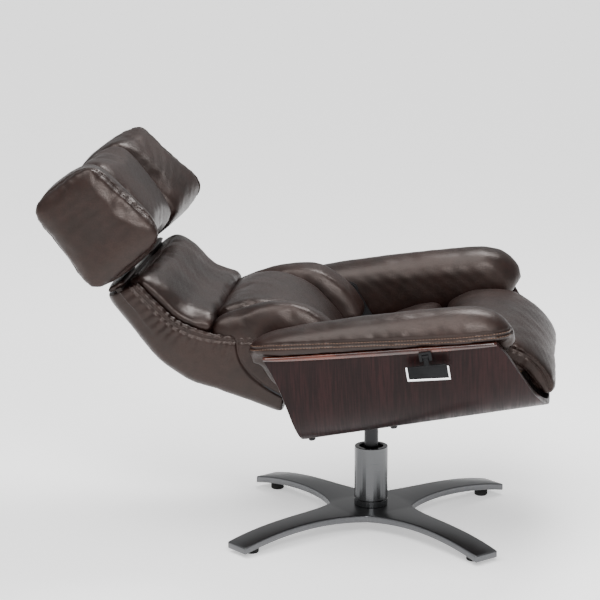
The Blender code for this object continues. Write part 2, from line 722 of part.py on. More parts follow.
def build_arm(side, name, frame):
    """A padded arm that sits on the rim and lines the shell's wall."""
    rear = RIM_REAR_U - ARM_REAR_OVER
    front = RIM_FRONT_U + ARM_FRONT_OVER
    rows = [(rear, 0.40, 0.40), (rear + 0.010, 0.72, 0.75), (rear + 0.030, 0.95, 1.0)]
    rows += [(between(rear + 0.075, front - 0.070, i / 5.0), 1.0, 1.0) for i in range(6)]
    rows += [(front - 0.036, 1.0, 0.90), (front - 0.014, 0.84, 0.66), (front, 0.42, 0.40)]
    loops = []
    for u, scale, crown in rows:
        rise = between(ARM_RISE_REAR, ARM_RISE_FRONT, (u - rear) / (front - rear))
        loops.append(arm_loop(side, u, rim_height(u) + rise * crown, scale))
    place(name, loft(loops), frame, "leather")


# ================================================================ hinge brackets on the shell
def build_bracket(side, name, frame):
    """The upright plate that carries the back's pivot, with its foot on the shell's floor."""
    inner = BRACKET_INNER
    outer = inner + BRACKET_THICK
    lug = arc((PIVOT_U, PIVOT_W), LUG_RADIUS, -20.0, 200.0, 9)
    stand_low = shell_inner_height(outer) + 2.0 * SOFT
    outline = lug + [(FOOT_REAR_U + FOOT_TAPER, stand_low), (FOOT_FRONT_U - FOOT_TAPER, stand_low)]
    loops = []
    for y in (inner, outer):
        loops.append([(u, side * y, w) for u, w in outline])
    plate = place(name, loft(loops), frame, "black_steel")
    pivot = hole(name + "_bore", PIN_RADIUS + RUN, side * inner - 0.01, side * inner + 0.01,
                 (PIVOT_U, 0.0, PIVOT_W), "Y", frame)
    within = 0.1 * BRACKET_THICK
    halves = [between(FOOT_INNER_Y, inner + within, i / 4.0) for i in range(5)]
    bolted = FOOT_BOLT_Y + BOLT_HEAD_RADIUS
    floor = [(half, shell_inner_height(half) + (TOUCH if half < bolted else SOFT)) for half in halves]
    upper = [(half, w + FOOT_THICK) for half, w in reversed(floor)]
    top = stand_low + FOOT_THICK
    profile = floor + [(outer - within, stand_low), (outer - within, top), (inner + within, top)] + upper[1:]
    foot = loft([[(u, side * y, w) for y, w in profile] for u in (FOOT_REAR_U, FOOT_FRONT_U)])
    weld(plate, place(name + "_foot", foot, frame, None))
    for number, u in enumerate(FOOT_BOLT_U):
        label = "%s_foot_bore_%d" % (name, number)
        cut(plate, hole(label, BOLT_RADIUS + HOLE_CLEAR, 0.0, 0.03, (u, side * FOOT_BOLT_Y, 0.0), "Z", frame))
        end = SHELL_THICK + FOOT_THICK + BOLT_STAND
        bolt("%s_bolt_%d" % (name, number + 1), u, side * FOOT_BOLT_Y, -TOUCH, end, frame)
    cut(plate, pivot)


# ================================================================ back
def band(stations, corner):
    """Loft along the back: each station is (rear point, front point, low y, high y)."""
    loops = []
    for rear, front, low, high in stations:
        across = Vector((front[0] - rear[0], front[1] - rear[1]))
        depth = across.length
        across.normalize()
        r = min(corner, 0.45 * depth)
        flat = [(0.0, low + r), (0.0, high - r), (0.3 * r, high - 0.3 * r), (r, high), (depth - r, high),
                (depth - 0.3 * r, high - 0.3 * r), (depth, high - r), (depth, low + r),
                (depth - 0.3 * r, low + 0.3 * r), (depth - r, low), (r, low), (0.3 * r, low + 0.3 * r)]
        loops.append([(rear[0] + across.x * d, y, rear[1] + across.y * d) for d, y in flat])
    return loft(loops)


def layer(level, near, far):
    """The two points at stated depths from the rear outline, at one level of the back."""
    rear = Vector(BACK_REAR[level])
    front = Vector(BACK_FRONT[level])
    across = (front - rear).normalized()
    near_point = rear + across * near
    far_point = front if far is None else rear + across * far
    return tuple(near_point), tuple(far_point)


def board_drop():
    """How far the board ends below the back's top, so that the hinge leaf sits on it."""
    near, far = layer(0, REAR_PAD + SOFT, REAR_PAD + SOFT + BOARD)
    along = (Vector(far) - Vector(near)).normalized()
    height = (Vector(head_axis()) - Vector(near)).dot(Vector((-along.y, along.x)))
    return HEAD_AXIS_DROP + HEAD_LEAF_STEP - height


def back_half(level):
    """Half width of the back at a level: wide behind the arms, narrow between them."""
    return BACK_HALF_WIDE if level < WIDE_LEVELS else BACK_HALF_NARROW


def softened(stations, amount):
    """Shrink the first and last stations of a band, so that a cushion has round ends."""
    ends = []
    for end, neighbour in ((stations[0], stations[1]), (stations[-1], stations[-2])):
        rear, front, low, high = end
        depth = math.dist(rear, front)
        share = min(amount / depth, 0.4)
        shrunk = (between(rear, front, share), between(rear, front, 1.0 - share), low + amount, high - amount)
        reach = math.dist(rear, neighbour[0])
        step = min(amount / reach, 0.45)
        ends.append((shrunk, (between(rear, neighbour[0], step), between(front, neighbour[1], step), low, high)))
    return [ends[0][0], ends[0][1]] + stations[1:-1] + [ends[1][1], ends[1][0]]


def build_back(frame):
    """Board, cushions, side plates, cross tube and crank of the reclining back."""
    board_near = REAR_PAD + SOFT
    board_far = board_near + BOARD
    pad_near = board_far + SOFT
    levels = range(len(BACK_REAR))
    rear = [(*layer(i, 0.0, REAR_PAD), -back_half(i), back_half(i)) for i in levels]
    place("back_rear_cover", band(softened(rear, 0.010), 0.012), frame, "leather")
    board = [(*layer(i, board_near, board_far), BOARD_INSET - back_half(i), back_half(i) - BOARD_INSET)
             for i in levels]
    near, far = board[0][:2]
    share = board_drop() / math.dist(BACK_REAR[0], BACK_REAR[1])
    board[0] = (between(near, board[1][0], share), between(far, board[1][1], share), *board[0][2:])
    place("back_board", band(board, 0.002), frame, "birch_ply")
    upper = [(*layer(i, pad_near, None), -back_half(i), back_half(i)) for i in range(WIDE_LEVELS)]
    next_rear, next_front = layer(WIDE_LEVELS, pad_near, None)
    seam = (between(upper[-1][0], next_rear, SEAM_SHARE), between(upper[-1][1], next_front, SEAM_SHARE))
    upper.append((*seam, -BACK_HALF_NARROW, BACK_HALF_NARROW))
    place("back_upper_cushion", band(softened(upper, 0.014), 0.020), frame, "leather")

    low_levels = range(WIDE_LEVELS, len(BACK_REAR))
    inner = [layer(i, pad_near, None)[0] for i in low_levels]
    lumbar_front = [BACK_FRONT[i] for i in low_levels]
    lumbar = list(zip(inner + list(HIP_INNER), lumbar_front + list(HIP_FRONT)))
    stations = [(a, b, -LUMBAR_HALF, LUMBAR_HALF) for a, b in lumbar]
    place("back_lumbar_cushion", band(softened(stations, 0.012), 0.018), frame, "leather")
    wing = list(zip(inner + list(WING_INNER_LOW), WING_FRONT))
    for side, name in ((1, "back_wing_left"), (-1, "back_wing_right")):
        edges = sorted((side * (LUMBAR_HALF + SOFT), side * BACK_HALF_NARROW))
        stations = [(a, b, *edges) for a, b in wing]
        place(name, band(softened(stations, 0.014), 0.022), frame, "leather")
    build_back_steel(frame)


def build_back_steel(frame):
    """Side plates with their pivot pins, the cross tube and the crank for the gas spring."""
    plate_inner = BACK_HALF_NARROW + SOFT
    plate_outer = plate_inner + SIDE_PLATE
    pin_outer = BRACKET_INNER + BRACKET_THICK - TOUCH
    spine = [layer(i, REAR_PAD + SOFT, REAR_PAD + SOFT + BOARD) for i in (3, 4, 5)]
    lug = arc((PIVOT_U, PIVOT_W), LUG_RADIUS, 110.0, -60.0, 8)
    toe = arc((CROSS_TUBE_U, CROSS_TUBE_W), CROSS_TUBE_RADIUS + CROSS_TUBE_WALL, 0.0, -150.0, 7)
    heel = [spine[2][0], spine[1][0], spine[0][0], spine[0][1], spine[1][1]]
    outline = lug + toe + heel
    for side, tag in ((1, "left"), (-1, "right")):
        loops = [[(u, side * y, w) for u, w in outline] for y in (plate_inner, plate_outer)]
        plate = place("back_side_plate_" + tag, loft(loops), frame, "black_steel")
        label = "side_plate_bore_" + tag
        middle = side * 0.5 * (plate_inner + plate_outer)
        reach = 2.0 * SIDE_PLATE
        cut(plate, hole(label, PIN_RADIUS + TOUCH, middle - reach, middle + reach,
                        (PIVOT_U, 0.0, PIVOT_W), "Y", frame))
        low, high = sorted((side * (plate_inner + TOUCH), side * pin_outer))
        place("pivot_pin_" + tag, rod(PIN_RADIUS, low, high, (PIVOT_U, 0.0, PIVOT_W)), frame, "zinc_steel")
    reach = plate_inner - TOUCH
    bar = rod(CROSS_TUBE_RADIUS, -reach, reach, (CROSS_TUBE_U, 0.0, CROSS_TUBE_W), "Y", ROUND)
    place("back_cross_tube", bar, frame, "black_steel")
    pin = spring_pin()
    end = CRANK_ARM
    start = Vector((CROSS_TUBE_U, CROSS_TUBE_W))
    along = (Vector(pin) - start).normalized()
    square = Vector((-along.y, along.x))
    root = start + along * (CROSS_TUBE_RADIUS + TOUCH)
    tip = math.degrees(math.atan2(along.y, along.x))
    outline = [tuple(root - square * end), *arc(pin, end, tip - 90.0, tip + 90.0, 9), tuple(root + square * end)]
    crank = place("spring_crank", prism(outline, -CRANK_HALF, CRANK_HALF), frame, "black_steel")
    slot_low = EYE_HALF + RUN
    eye = EYE_WALL + SPRING_PIN_RADIUS + PIN_PLAY
    slot = place("crank_slot", box(pin[0] - eye - SLOT_DEPTH, pin[0] + 0.05, -slot_low, slot_low,
                                   pin[1] - 0.05, pin[1] + 0.05), frame, None)
    cut(crank, slot)
    reach = CRANK_HALF + SPRING_PIN_PROUD
    rear_pin = rod(SPRING_PIN_RADIUS, -reach, reach, (pin[0], 0.0, pin[1]))
    weld(crank, place("spring_rear_pin", rear_pin, frame, None))


def spring_pin():
    """The gas spring's rear pin with the back reclined, at the front end of its swing."""
    return (PIVOT_U + CRANK_RADIUS * math.sin(HALF_SWING), PIVOT_W - CRANK_RADIUS * math.cos(HALF_SWING))


# ================================================================ headrest
def head_point(depth, height):
    """A point of the headrest from its lower rear corner, forward and up along its lean."""
    c = math.cos(HEAD_LEAN)
    s = math.sin(HEAD_LEAN)
    return (HEAD_CORNER[0] + depth * c - height * s, HEAD_CORNER[1] + depth * s + height * c)


def head_axis():
    """The headrest hinge's axis, in the plane of the headrest's board."""
    return head_point(HEAD_REAR_PAD + SOFT + 0.5 * HEAD_BOARD, -HEAD_AXIS_DROP)


def head_loft(section, round_end):
    """Loft a headrest cushion up its height; section gives (depth, y) points at a height share."""
    loops = []
    for height, shrink in ((0.0, round_end), (0.25 * round_end, 0.4 * round_end), (round_end, 0.0),
                           (0.5 * HEAD_HEIGHT, 0.0), (HEAD_HEIGHT - round_end, 0.0),
                           (HEAD_HEIGHT - 0.25 * round_end, 0.4 * round_end), (HEAD_HEIGHT, round_end)):
        outline = section(height / HEAD_HEIGHT)
        if shrink:
            outline = inset(outline, shrink)
        loop = []
        for depth, y in outline:
            u, w = head_point(depth, height)
            loop.append((u, y, w))
        loops.append(loop)
    return loft(loops)


def build_headrest(frame):
    """Cushions, board and hinge leaf of the tilting headrest."""
    front = HEAD_REAR_PAD + 2.0 * SOFT + HEAD_BOARD
    corner = 0.016

    def rear_section(_):
        half = HEAD_HALF
        return [(0.0, corner - half), (0.3 * corner, 0.3 * corner - half), (corner, -half),
                (HEAD_REAR_PAD, -half), (HEAD_REAR_PAD, half), (corner, half),
                (0.3 * corner, half - 0.3 * corner), (0.0, half - corner)]

    def middle_section(_):
        half = HEAD_MIDDLE - 0.5 * SOFT
        return [(front, -half), (HEAD_DEPTH, -half), (HEAD_DEPTH + 0.005, -0.5 * half),
                (HEAD_DEPTH + 0.005, 0.5 * half), (HEAD_DEPTH, half), (front, half)]

    def wing_section(share, side):
        deep = between(HEAD_WING_LOW, HEAD_WING_HIGH, share)
        inner = HEAD_MIDDLE + 0.5 * SOFT
        points = [(front, inner), (front, HEAD_HALF), (deep - 0.045, HEAD_HALF),
                  (deep - 0.012, HEAD_HALF - 0.008), (deep, HEAD_HALF - 0.030), (deep - 0.004, HEAD_HALF - 0.065),
                  (between(HEAD_DEPTH, deep, 0.45), inner + 0.045), (HEAD_DEPTH, inner)]
        return [(depth, side * y) for depth, y in points]

    place("headrest_rear_cushion", head_loft(rear_section, 0.006), frame, "leather")
    place("headrest_middle_cushion", head_loft(middle_section, 0.010), frame, "leather")
    place("headrest_wing_left", head_loft(lambda s: wing_section(s, 1), 0.010), frame, "leather")
    place("headrest_wing_right", head_loft(lambda s: wing_section(s, -1), 0.010), frame, "leather")
    board_half = HEAD_HALF - HEAD_BOARD_SIDE
    near = HEAD_REAR_PAD + SOFT
    outline = [head_point(near, HEAD_LEAF_STEP), head_point(near + HEAD_BOARD, HEAD_LEAF_STEP),
               head_point(near + HEAD_BOARD, HEAD_HEIGHT - HEAD_BOARD_TOP),
               head_point(near, HEAD_HEIGHT - HEAD_BOARD_TOP)]
    place("headrest_board", prism(outline, -board_half, board_half), frame, "birch_ply")
    leaf_inner = HEAD_EAR_Y + HEAD_EAR_THICK + RUN
    leaf = hinge_leaf(leaf_inner, head_axis(), HEAD_LEAN, 1.0)
    upper = place("headrest_hinge_upper", leaf, frame, "zinc_steel")
    cut(upper, hole("leaf_bore_upper", HEAD_ROD_RADIUS + RUN, -0.12, 0.12,
                    (head_axis()[0], 0.0, head_axis()[1]), "Y", frame))


def hinge_leaf(ear_inner, axis, lean, way):
    """A U-shaped hinge leaf: a base strip and two ears that reach the axis."""
    ear_outer = ear_inner + HEAD_EAR_THICK
    base_near = HEAD_AXIS_DROP + HEAD_LEAF_STEP - 2.0 * TOUCH - HEAD_BASE_THICK
    base_far = base_near + HEAD_BASE_THICK
    half = 0.5 * HEAD_BOARD
    c = math.cos(lean)
    s = math.sin(lean)

    def at(across, out, y):
        out = out * way
        return (axis[0] + across * c - out * s, y, axis[1] + across * s + out * c)

    ear = [(half, base_near)] + [(HEAD_EAR_RADIUS * math.cos(a), HEAD_EAR_RADIUS * math.sin(a))
                                 for a in [math.radians(-20.0 * i) for i in range(10)]] + [(-half, base_near)]
    bm = bmesh.new()
    columns = {}
    for y in (-ear_outer, -ear_inner, ear_inner, ear_outer):
        columns[y] = {
            "ear": [bm.verts.new(at(a, b, y)) for a, b in ear],
            "far": [bm.verts.new(at(a, base_far, y)) for a in (-half, half)],
        }
    rows = list(columns.values())
    for row in (rows[0], rows[3]):
        bm.faces.new(row["ear"] + row["far"])
    for inner_row, outer_row in ((rows[1], rows[0]), (rows[2], rows[3])):
        bm.faces.new(inner_row["ear"])
        count = len(ear)
        for i in range(count - 1):
            bm.faces.new((inner_row["ear"][i], inner_row["ear"][i + 1],
                          outer_row["ear"][i + 1], outer_row["ear"][i]))
    first = rows[1]["ear"][0], rows[2]["ear"][0]
    last = rows[1]["ear"][-1], rows[2]["ear"][-1]
    bm.faces.new((first[0], first[1], last[1], last[0]))
    for first_row, second_row in zip(rows, rows[1:]):
        bm.faces.new((first_row["far"][0], first_row["far"][1], second_row["far"][1], second_row["far"][0]))
        bm.faces.new((first_row["ear"][0], second_row["ear"][0], second_row["far"][1], first_row["far"][1]))
        bm.faces.new((first_row["ear"][-1], second_row["ear"][-1], second_row["far"][0], first_row["far"][0]))
    return bm


def build_headrest_bracket(frame):
    """The hinge leaf on top of the back's board, and the rod through both leaves."""
    axis = head_axis()
    near, far = layer(0, REAR_PAD + SOFT, REAR_PAD + SOFT + BOARD)
    lean = math.atan2(far[1] - near[1], far[0] - near[0])
    lower = place("headrest_hinge_lower", hinge_leaf(HEAD_EAR_Y, axis, lean, -1.0), frame, "zinc_steel")
    reach = HEAD_EAR_Y + 2.0 * HEAD_EAR_THICK + 0.003
    pin = rod(HEAD_ROD_RADIUS, -reach, reach, (axis[0], 0.0, axis[1]))
    weld(lower, place("headrest_rod", pin, frame, None))


# ================================================================ seat
def build_seat(frame):
    """Two cushions on a plywood pan, which slides on runners."""
    low = SEAT_BOTTOM_W
    seam = SEAT_SEAM_U
    rear_outline = [(SEAT_REAR_U, low), (SEAT_REAR_U, 0.098), (SEAT_REAR_U + 0.012, 0.116),
                    (SEAT_REAR_U + 0.045, 0.128), (0.070, 0.143), (0.125, 0.148), (seam - 0.010, 0.142),
                    (seam - SOFT, 0.128), (seam - SOFT, low)]
    front_outline = [(seam, low), (seam, 0.128), (seam + 0.012, 0.146), (0.215, 0.160), (0.265, 0.163),
                     (0.312, 0.149), (0.350, 0.118), (0.376, 0.080), (0.386, 0.050), (0.382, 0.030),
                     (0.370, 0.0225), (0.356, 0.030), (0.342, 0.052), (0.332, low)]
    place("seat_rear_cushion", prism(rear_outline, -SEAT_HALF, SEAT_HALF, 0.016), frame, "leather")
    place("seat_front_cushion", prism(front_outline, -SEAT_HALF, SEAT_HALF, 0.018), frame, "leather")
    pan_high = low - SOFT
    pan_low = pan_high - SEAT_PAN
    pan_half = SEAT_HALF - SEAT_PAN_SETBACK
    pan = box(SEAT_PAN_REAR_U, SEAT_PAN_FRONT_U, -pan_half, pan_half, pan_low, pan_high)
    place("seat_pan", pan, frame, "birch_ply")
    runner_half = 0.5 * RAIL_WIDTH - RAIL_WALL - RUN
    for side, tag in ((1, "left"), (-1, "right")):
        runner = box(RAIL_REAR_U + SEAT_TRAVEL + RAIL_STOP, RAIL_FRONT_U - RAIL_STOP,
                     side * RAIL_Y - runner_half, side * RAIL_Y + runner_half,
                     RUNNER_LOW, RUNNER_LOW + RUNNER_HEIGHT)
        place("seat_runner_" + tag, runner, frame, "zinc_steel")


def build_rails(frame):
    """The U-shaped rails on the shell's floor."""
    low = SHELL_THICK + TOUCH
    high = low + RAIL_HEIGHT
    half = 0.5 * RAIL_WIDTH
    wall = half - RAIL_WALL
    for side, tag in ((1, "left"), (-1, "right")):
        profile = [(-half, low), (half, low), (half, high), (wall, high), (wall, low + RAIL_WALL),
                   (-wall, low + RAIL_WALL), (-wall, high), (-half, high)]
        loops = [[(u, side * RAIL_Y + y, w) for y, w in profile] for u in (RAIL_REAR_U, RAIL_FRONT_U)]
        place("seat_rail_" + tag, loft(loops), frame, "zinc_steel")


# ================================================================ gas spring
def build_spring(shell_frame, rod_frame):
    """The cylinder with its front bracket and pin on the shell, and the rod."""
    w = SPRING_W
    eye_outer = SPRING_PIN_RADIUS + EYE_WALL
    mouth = SPRING_FRONT_U - eye_outer - CYLINDER_LENGTH
    blind = SPRING_FRONT_U - 0.6 * eye_outer
    bore_end = mouth + CYLINDER_LENGTH - CYLINDER_BLIND
    guide_end = mouth + CYLINDER_HEAD
    neck = SPRING_FRONT_U - eye_outer - 0.003
    profile = [(0.0, blind), (CYLINDER_RADIUS * 0.5, blind), (CYLINDER_RADIUS * 0.5, neck),
               (CYLINDER_RADIUS * 0.8, neck), (CYLINDER_RADIUS, neck - 0.003),
               (CYLINDER_RADIUS, mouth), (ROD_RADIUS + RUN, mouth), (ROD_RADIUS + RUN, guide_end),
               (CYLINDER_BORE, guide_end), (CYLINDER_BORE, bore_end), (0.0, bore_end)]
    cylinder = turned(profile, (0.0, 0.0, w), "X", ROUND)
    cylinder_obj = place("gas_cylinder", cylinder, shell_frame, "black_steel")
    lug = rod(eye_outer, -EYE_HALF, EYE_HALF, (SPRING_FRONT_U, 0.0, w))
    weld(cylinder_obj, place("cylinder_eye", lug, shell_frame, None))
    cut(cylinder_obj, hole("cylinder_eye_bore", SPRING_PIN_RADIUS + TOUCH, -0.03, 0.03,
                           (SPRING_FRONT_U, 0.0, w), "Y", shell_frame))
    foot = SHELL_THICK + TOUCH
    outline = [(SPRING_FRONT_U - 0.014, foot), (SPRING_FRONT_U + 0.014, foot),
               *arc((SPRING_FRONT_U, w), eye_outer, -10.0, 190.0, 9)]
    bracket = place("spring_bracket", prism(outline, -CRANK_HALF, CRANK_HALF), shell_frame, "black_steel")
    slot = EYE_HALF + RUN
    cutter = place("bracket_slot", box(SPRING_FRONT_U - 0.05, SPRING_FRONT_U + 0.05, -slot, slot,
                                       w - eye_outer - SLOT_DEPTH, w + 0.05), shell_frame, None)
    cut(bracket, cutter)
    reach = CRANK_HALF + SPRING_PIN_PROUD
    front_pin = rod(SPRING_PIN_RADIUS, -reach, reach, (SPRING_FRONT_U, 0.0, w))
    weld(bracket, place("spring_front_pin", front_pin, shell_frame, None))
    pin = spring_pin()
    bore = SPRING_PIN_RADIUS + PIN_PLAY
    ring = tube(bore + EYE_WALL, bore, -EYE_HALF, EYE_HALF, (pin[0], 0.0, w), "Y", FINE)
    rod_start = pin[0] + bore + 0.4 * EYE_WALL
    stem = rod(ROD_RADIUS, rod_start, mouth + ROD_INSERT, (0.0, 0.0, w), "X")
    bar = place("gas_rod", stem, rod_frame, "chrome")
    weld(bar, place("rod_eye", ring, rod_frame, None))


# ================================================================ lever
def lever_height():
    """Height of the lever's axis in the shell's frame."""
    return rim_height(LEVER_U) - LEVER_DROP


def build_boss(frame):
    """The slotted boss on the shell's right wall, with its spigot and the lever's pin."""
    y = -LEVER_Y
    w = lever_height()
    inner = -RIM_HALF - BOSS_GAP
    block = box(LEVER_U - BOSS_HALF_U, LEVER_U + BOSS_HALF_U, y - BOSS_OUT, inner,
                w - BOSS_HALF_W, w + BOSS_HALF_W)
    boss = place("lever_boss", block, frame, "black_plastic")
    spigot = rod(SPIGOT_RADIUS, inner - TOUCH, inner + SPIGOT_LENGTH, (LEVER_U, 0.0, w), "Y", 12)
    weld(boss, place("boss_spigot", spigot, frame, None))
    slot = HUB_HALF_U + RUN
    cut(boss, place("boss_slot", box(LEVER_U - slot, LEVER_U + slot, y - 0.02, inner - BOSS_WALL,
                                     w - 0.03, w + LEVER_HUB_RADIUS + RUN), frame, None))
    cut(boss, hole("boss_bore", LEVER_PIN_RADIUS + TOUCH, LEVER_U - 0.02, LEVER_U + 0.02,
                   (0.0, y, w), "X", frame))
    reach = BOSS_HALF_U - TOUCH
    pin = rod(LEVER_PIN_RADIUS, LEVER_U - reach, LEVER_U + reach, (0.0, y, w), "X", 12)
    place("lever_pin", pin, frame, "zinc_steel")


def sheared(u_offset, w):
    """A point of the paddle's outline, whose edges fall toward the front."""
    return (LEVER_U + u_offset, w - PADDLE_SLOPE * u_offset)


def build_lever(frame):
    """The paddle that hangs from the boss by its stem, and the trim round its edge."""
    y = -LEVER_Y
    w = lever_height()
    top = w - PADDLE_TOP
    bottom = w - PADDLE_BOTTOM
    half_thick = 0.5 * PADDLE_THICK
    half = PADDLE_HALF_U - TRIM_WIDTH - TOUCH
    inner_bottom = bottom + TRIM_WIDTH + TOUCH
    outline = [sheared(-half, inner_bottom), sheared(half, inner_bottom), sheared(half, top),
               (LEVER_U - half, top)]
    lever = place("lever", prism(outline, y - half_thick, y + half_thick), frame, "black_plastic")
    bevel(lever, 0.0012)
    stem = box(LEVER_U - STEM_HALF, LEVER_U + STEM_HALF, y - STEM_THICK_HALF, y + STEM_THICK_HALF,
               top - TRIM_LIP, w - 0.5 * LEVER_HUB_RADIUS)
    hub = rod(LEVER_HUB_RADIUS, LEVER_U - HUB_HALF_U, LEVER_U + HUB_HALF_U, (0.0, y, w), "X", 12)
    weld(lever, place("lever_stem", stem, frame, None))
    weld(lever, place("lever_hub", hub, frame, None))
    cut(lever, hole("lever_hub_bore", LEVER_PIN_RADIUS + RUN, LEVER_U - 0.02, LEVER_U + 0.02,
                    (0.0, y, w), "X", frame))
    lip = top - TRIM_LIP
    inner = PADDLE_HALF_U - TRIM_WIDTH
    rim = [sheared(-PADDLE_HALF_U, lip), sheared(-PADDLE_HALF_U, bottom), sheared(PADDLE_HALF_U, bottom),
           sheared(PADDLE_HALF_U, lip), sheared(inner, lip), sheared(inner, bottom + TRIM_WIDTH),
           sheared(-inner, bottom + TRIM_WIDTH), sheared(-inner, lip)]
    trim = place("lever_trim", prism(rim, y - half_thick - TRIM_PROUD, y + half_thick), frame, "chrome")
    bevel(trim, 0.0006, 1)


# ================================================================ assembly
def centre_on_floor(root):
    """Slide the chair along X so that its box is centred on the origin."""
    bpy.context.view_layer.update()
    graph = bpy.context.evaluated_depsgraph_get()
    xs = []
    for obj in bpy.data.objects:
        if obj.type == "MESH" and not obj.hide_render:
            shape = obj.evaluated_get(graph)
            xs += [(shape.matrix_world @ vert.co).x for vert in shape.data.vertices]
    root.location.x -= 0.5 * (min(xs) + max(xs))
    bpy.context.view_layer.update()


def main():
    """Build the chair from the floor up, each moving group under a frame on its joint's axis."""
    clear_scene()
    chair = Frame("chair")
    base = Frame("base_frame", chair)
    build_star(base)
    build_glides(base)
    spindle_low, bush_low = build_column(base)
    swivel = Frame("swivel_axis", base)
    spindle_top = build_spindle(swivel, spindle_low, bush_low)
    build_socket(swivel, spindle_top)

    shell = Frame("shell_frame", swivel, (0.0, 0.0, SHELL_HEIGHT), SHELL_LEAN).restart()
    build_shell(shell)
    build_mounting(shell)
    for side, tag in ((1, "left"), (-1, "right")):
        build_arm(side, "arm_pad_" + tag, shell)
        build_bracket(side, "hinge_bracket_" + tag, shell)
    build_rails(shell)

    seat = Frame("seat_slide", shell)
    build_seat(seat)
    back = Frame("recline_axis", shell, (PIVOT_U, 0.0, PIVOT_W))
    build_back(back)
    build_headrest_bracket(back)
    head_u, head_w = head_axis()
    build_headrest(Frame("headrest_axis", back, (head_u, 0.0, head_w)))
    build_spring(shell, Frame("rod_slide", shell))
    build_boss(shell)
    build_lever(Frame("lever_axis", shell, (LEVER_U, -LEVER_Y, lever_height())))
    centre_on_floor(chair.empty)


main()
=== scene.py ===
"""Looks of a reclining lounge chair: leather upholstery, wood, metal and studio round the frame.

Units are metres, +X is the way the sitter faces, +Y the sitter's left and +Z up. Everything on
the column is drawn in the shell's own leaning space: u forward, y to the left, w up from the
shell's underside.
"""
import json
import logging
import math
from collections.abc import Callable, Sequence
from dataclasses import dataclass, field
from enum import Enum
from typing import Any, ClassVar

import bmesh
import bpy
import numpy as np
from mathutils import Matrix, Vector
from mathutils.bvhtree import BVHTree


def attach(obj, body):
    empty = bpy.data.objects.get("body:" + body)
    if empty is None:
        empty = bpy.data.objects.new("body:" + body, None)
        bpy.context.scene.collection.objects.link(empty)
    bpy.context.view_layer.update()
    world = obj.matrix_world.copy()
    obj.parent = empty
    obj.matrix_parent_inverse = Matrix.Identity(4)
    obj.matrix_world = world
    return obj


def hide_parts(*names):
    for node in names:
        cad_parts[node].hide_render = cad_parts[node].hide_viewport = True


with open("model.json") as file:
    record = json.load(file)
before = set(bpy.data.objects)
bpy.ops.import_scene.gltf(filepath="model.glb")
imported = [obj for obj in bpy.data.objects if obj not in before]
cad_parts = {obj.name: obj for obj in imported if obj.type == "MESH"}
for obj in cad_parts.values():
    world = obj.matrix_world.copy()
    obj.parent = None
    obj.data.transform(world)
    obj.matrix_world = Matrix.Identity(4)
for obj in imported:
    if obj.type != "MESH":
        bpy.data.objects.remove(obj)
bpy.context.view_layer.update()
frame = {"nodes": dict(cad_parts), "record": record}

LOG = logging.getLogger("chair")

Point2 = tuple[float, float]
Point3 = tuple[float, float, float]
Colour = tuple[float, float, float]
Loop = list[Point3]

SHELL_HEIGHT = 0.250
SHELL_LEAN = math.radians(10.2)
RIM_REAR = (-0.150, 0.203)
RIM_FRONT = (0.297, 0.166)


class Body(Enum):
    """The bodies of the frame that new pieces ride on."""

    BASE = "base"
    SHELL = "shell_unit"
    SEAT = "seat"
    BACK = "back"
    HEADREST = "headrest"


class Side(Enum):
    """Left and right as the sitter has them."""

    LEFT = 1
    RIGHT = -1

    @property
    def word(self) -> str:
        """The side's name in lower case."""
        return self.name.lower()

    @property
    def inward(self) -> Point3:
        """The direction from this side to the middle."""
        return (0.0, -float(self.value), 0.0)


# ---------------------------------------------------------------- shader maths
class Value:
    """A number that varies over a surface, as a node's output that takes part in arithmetic."""

    def __init__(self, book: "NodeBook", socket: bpy.types.NodeSocket) -> None:
        """Wrap a node's output."""
        self.book = book
        self.socket = socket

    def math(self, operation: str, *others: Any, first: Any = None) -> "Value":
        """Feed the value through a Math node.

        Args:
            operation: The Math node's operation.
            others: The operands that follow.
            first: An operand that stands before the value, for the reflected forms.

        Returns:
            The node's result.
        """
        operands = [self, *others] if first is None else [first, self]
        inputs = dict(enumerate(operands))
        return self.book.add("ShaderNodeMath", {"operation": operation}, inputs)

    def __add__(self, other: Any) -> "Value":
        """Sum."""
        return self.math("ADD", other)

    __radd__ = __add__

    def __sub__(self, other: Any) -> "Value":
        """Difference."""
        return self.math("SUBTRACT", other)

    def __rsub__(self, other: Any) -> "Value":
        """Difference with the value taken away."""
        return self.math("SUBTRACT", first=other)

    def __mul__(self, other: Any) -> "Value":
        """Product."""
        return self.math("MULTIPLY", other)

    __rmul__ = __mul__

    def between(self, low: float, high: float) -> "Value":
        """Stretch the span from low to high over 0 to 1, smoothly, and stop there.

        Args:
            low: What becomes 0.
            high: What becomes 1.

        Returns:
            The stretched value.
        """
        settings = {"interpolation_type": "SMOOTHSTEP"}
        inputs = {"Value": self, "From Min": low, "From Max": high}
        return self.book.add("ShaderNodeMapRange", settings, inputs)


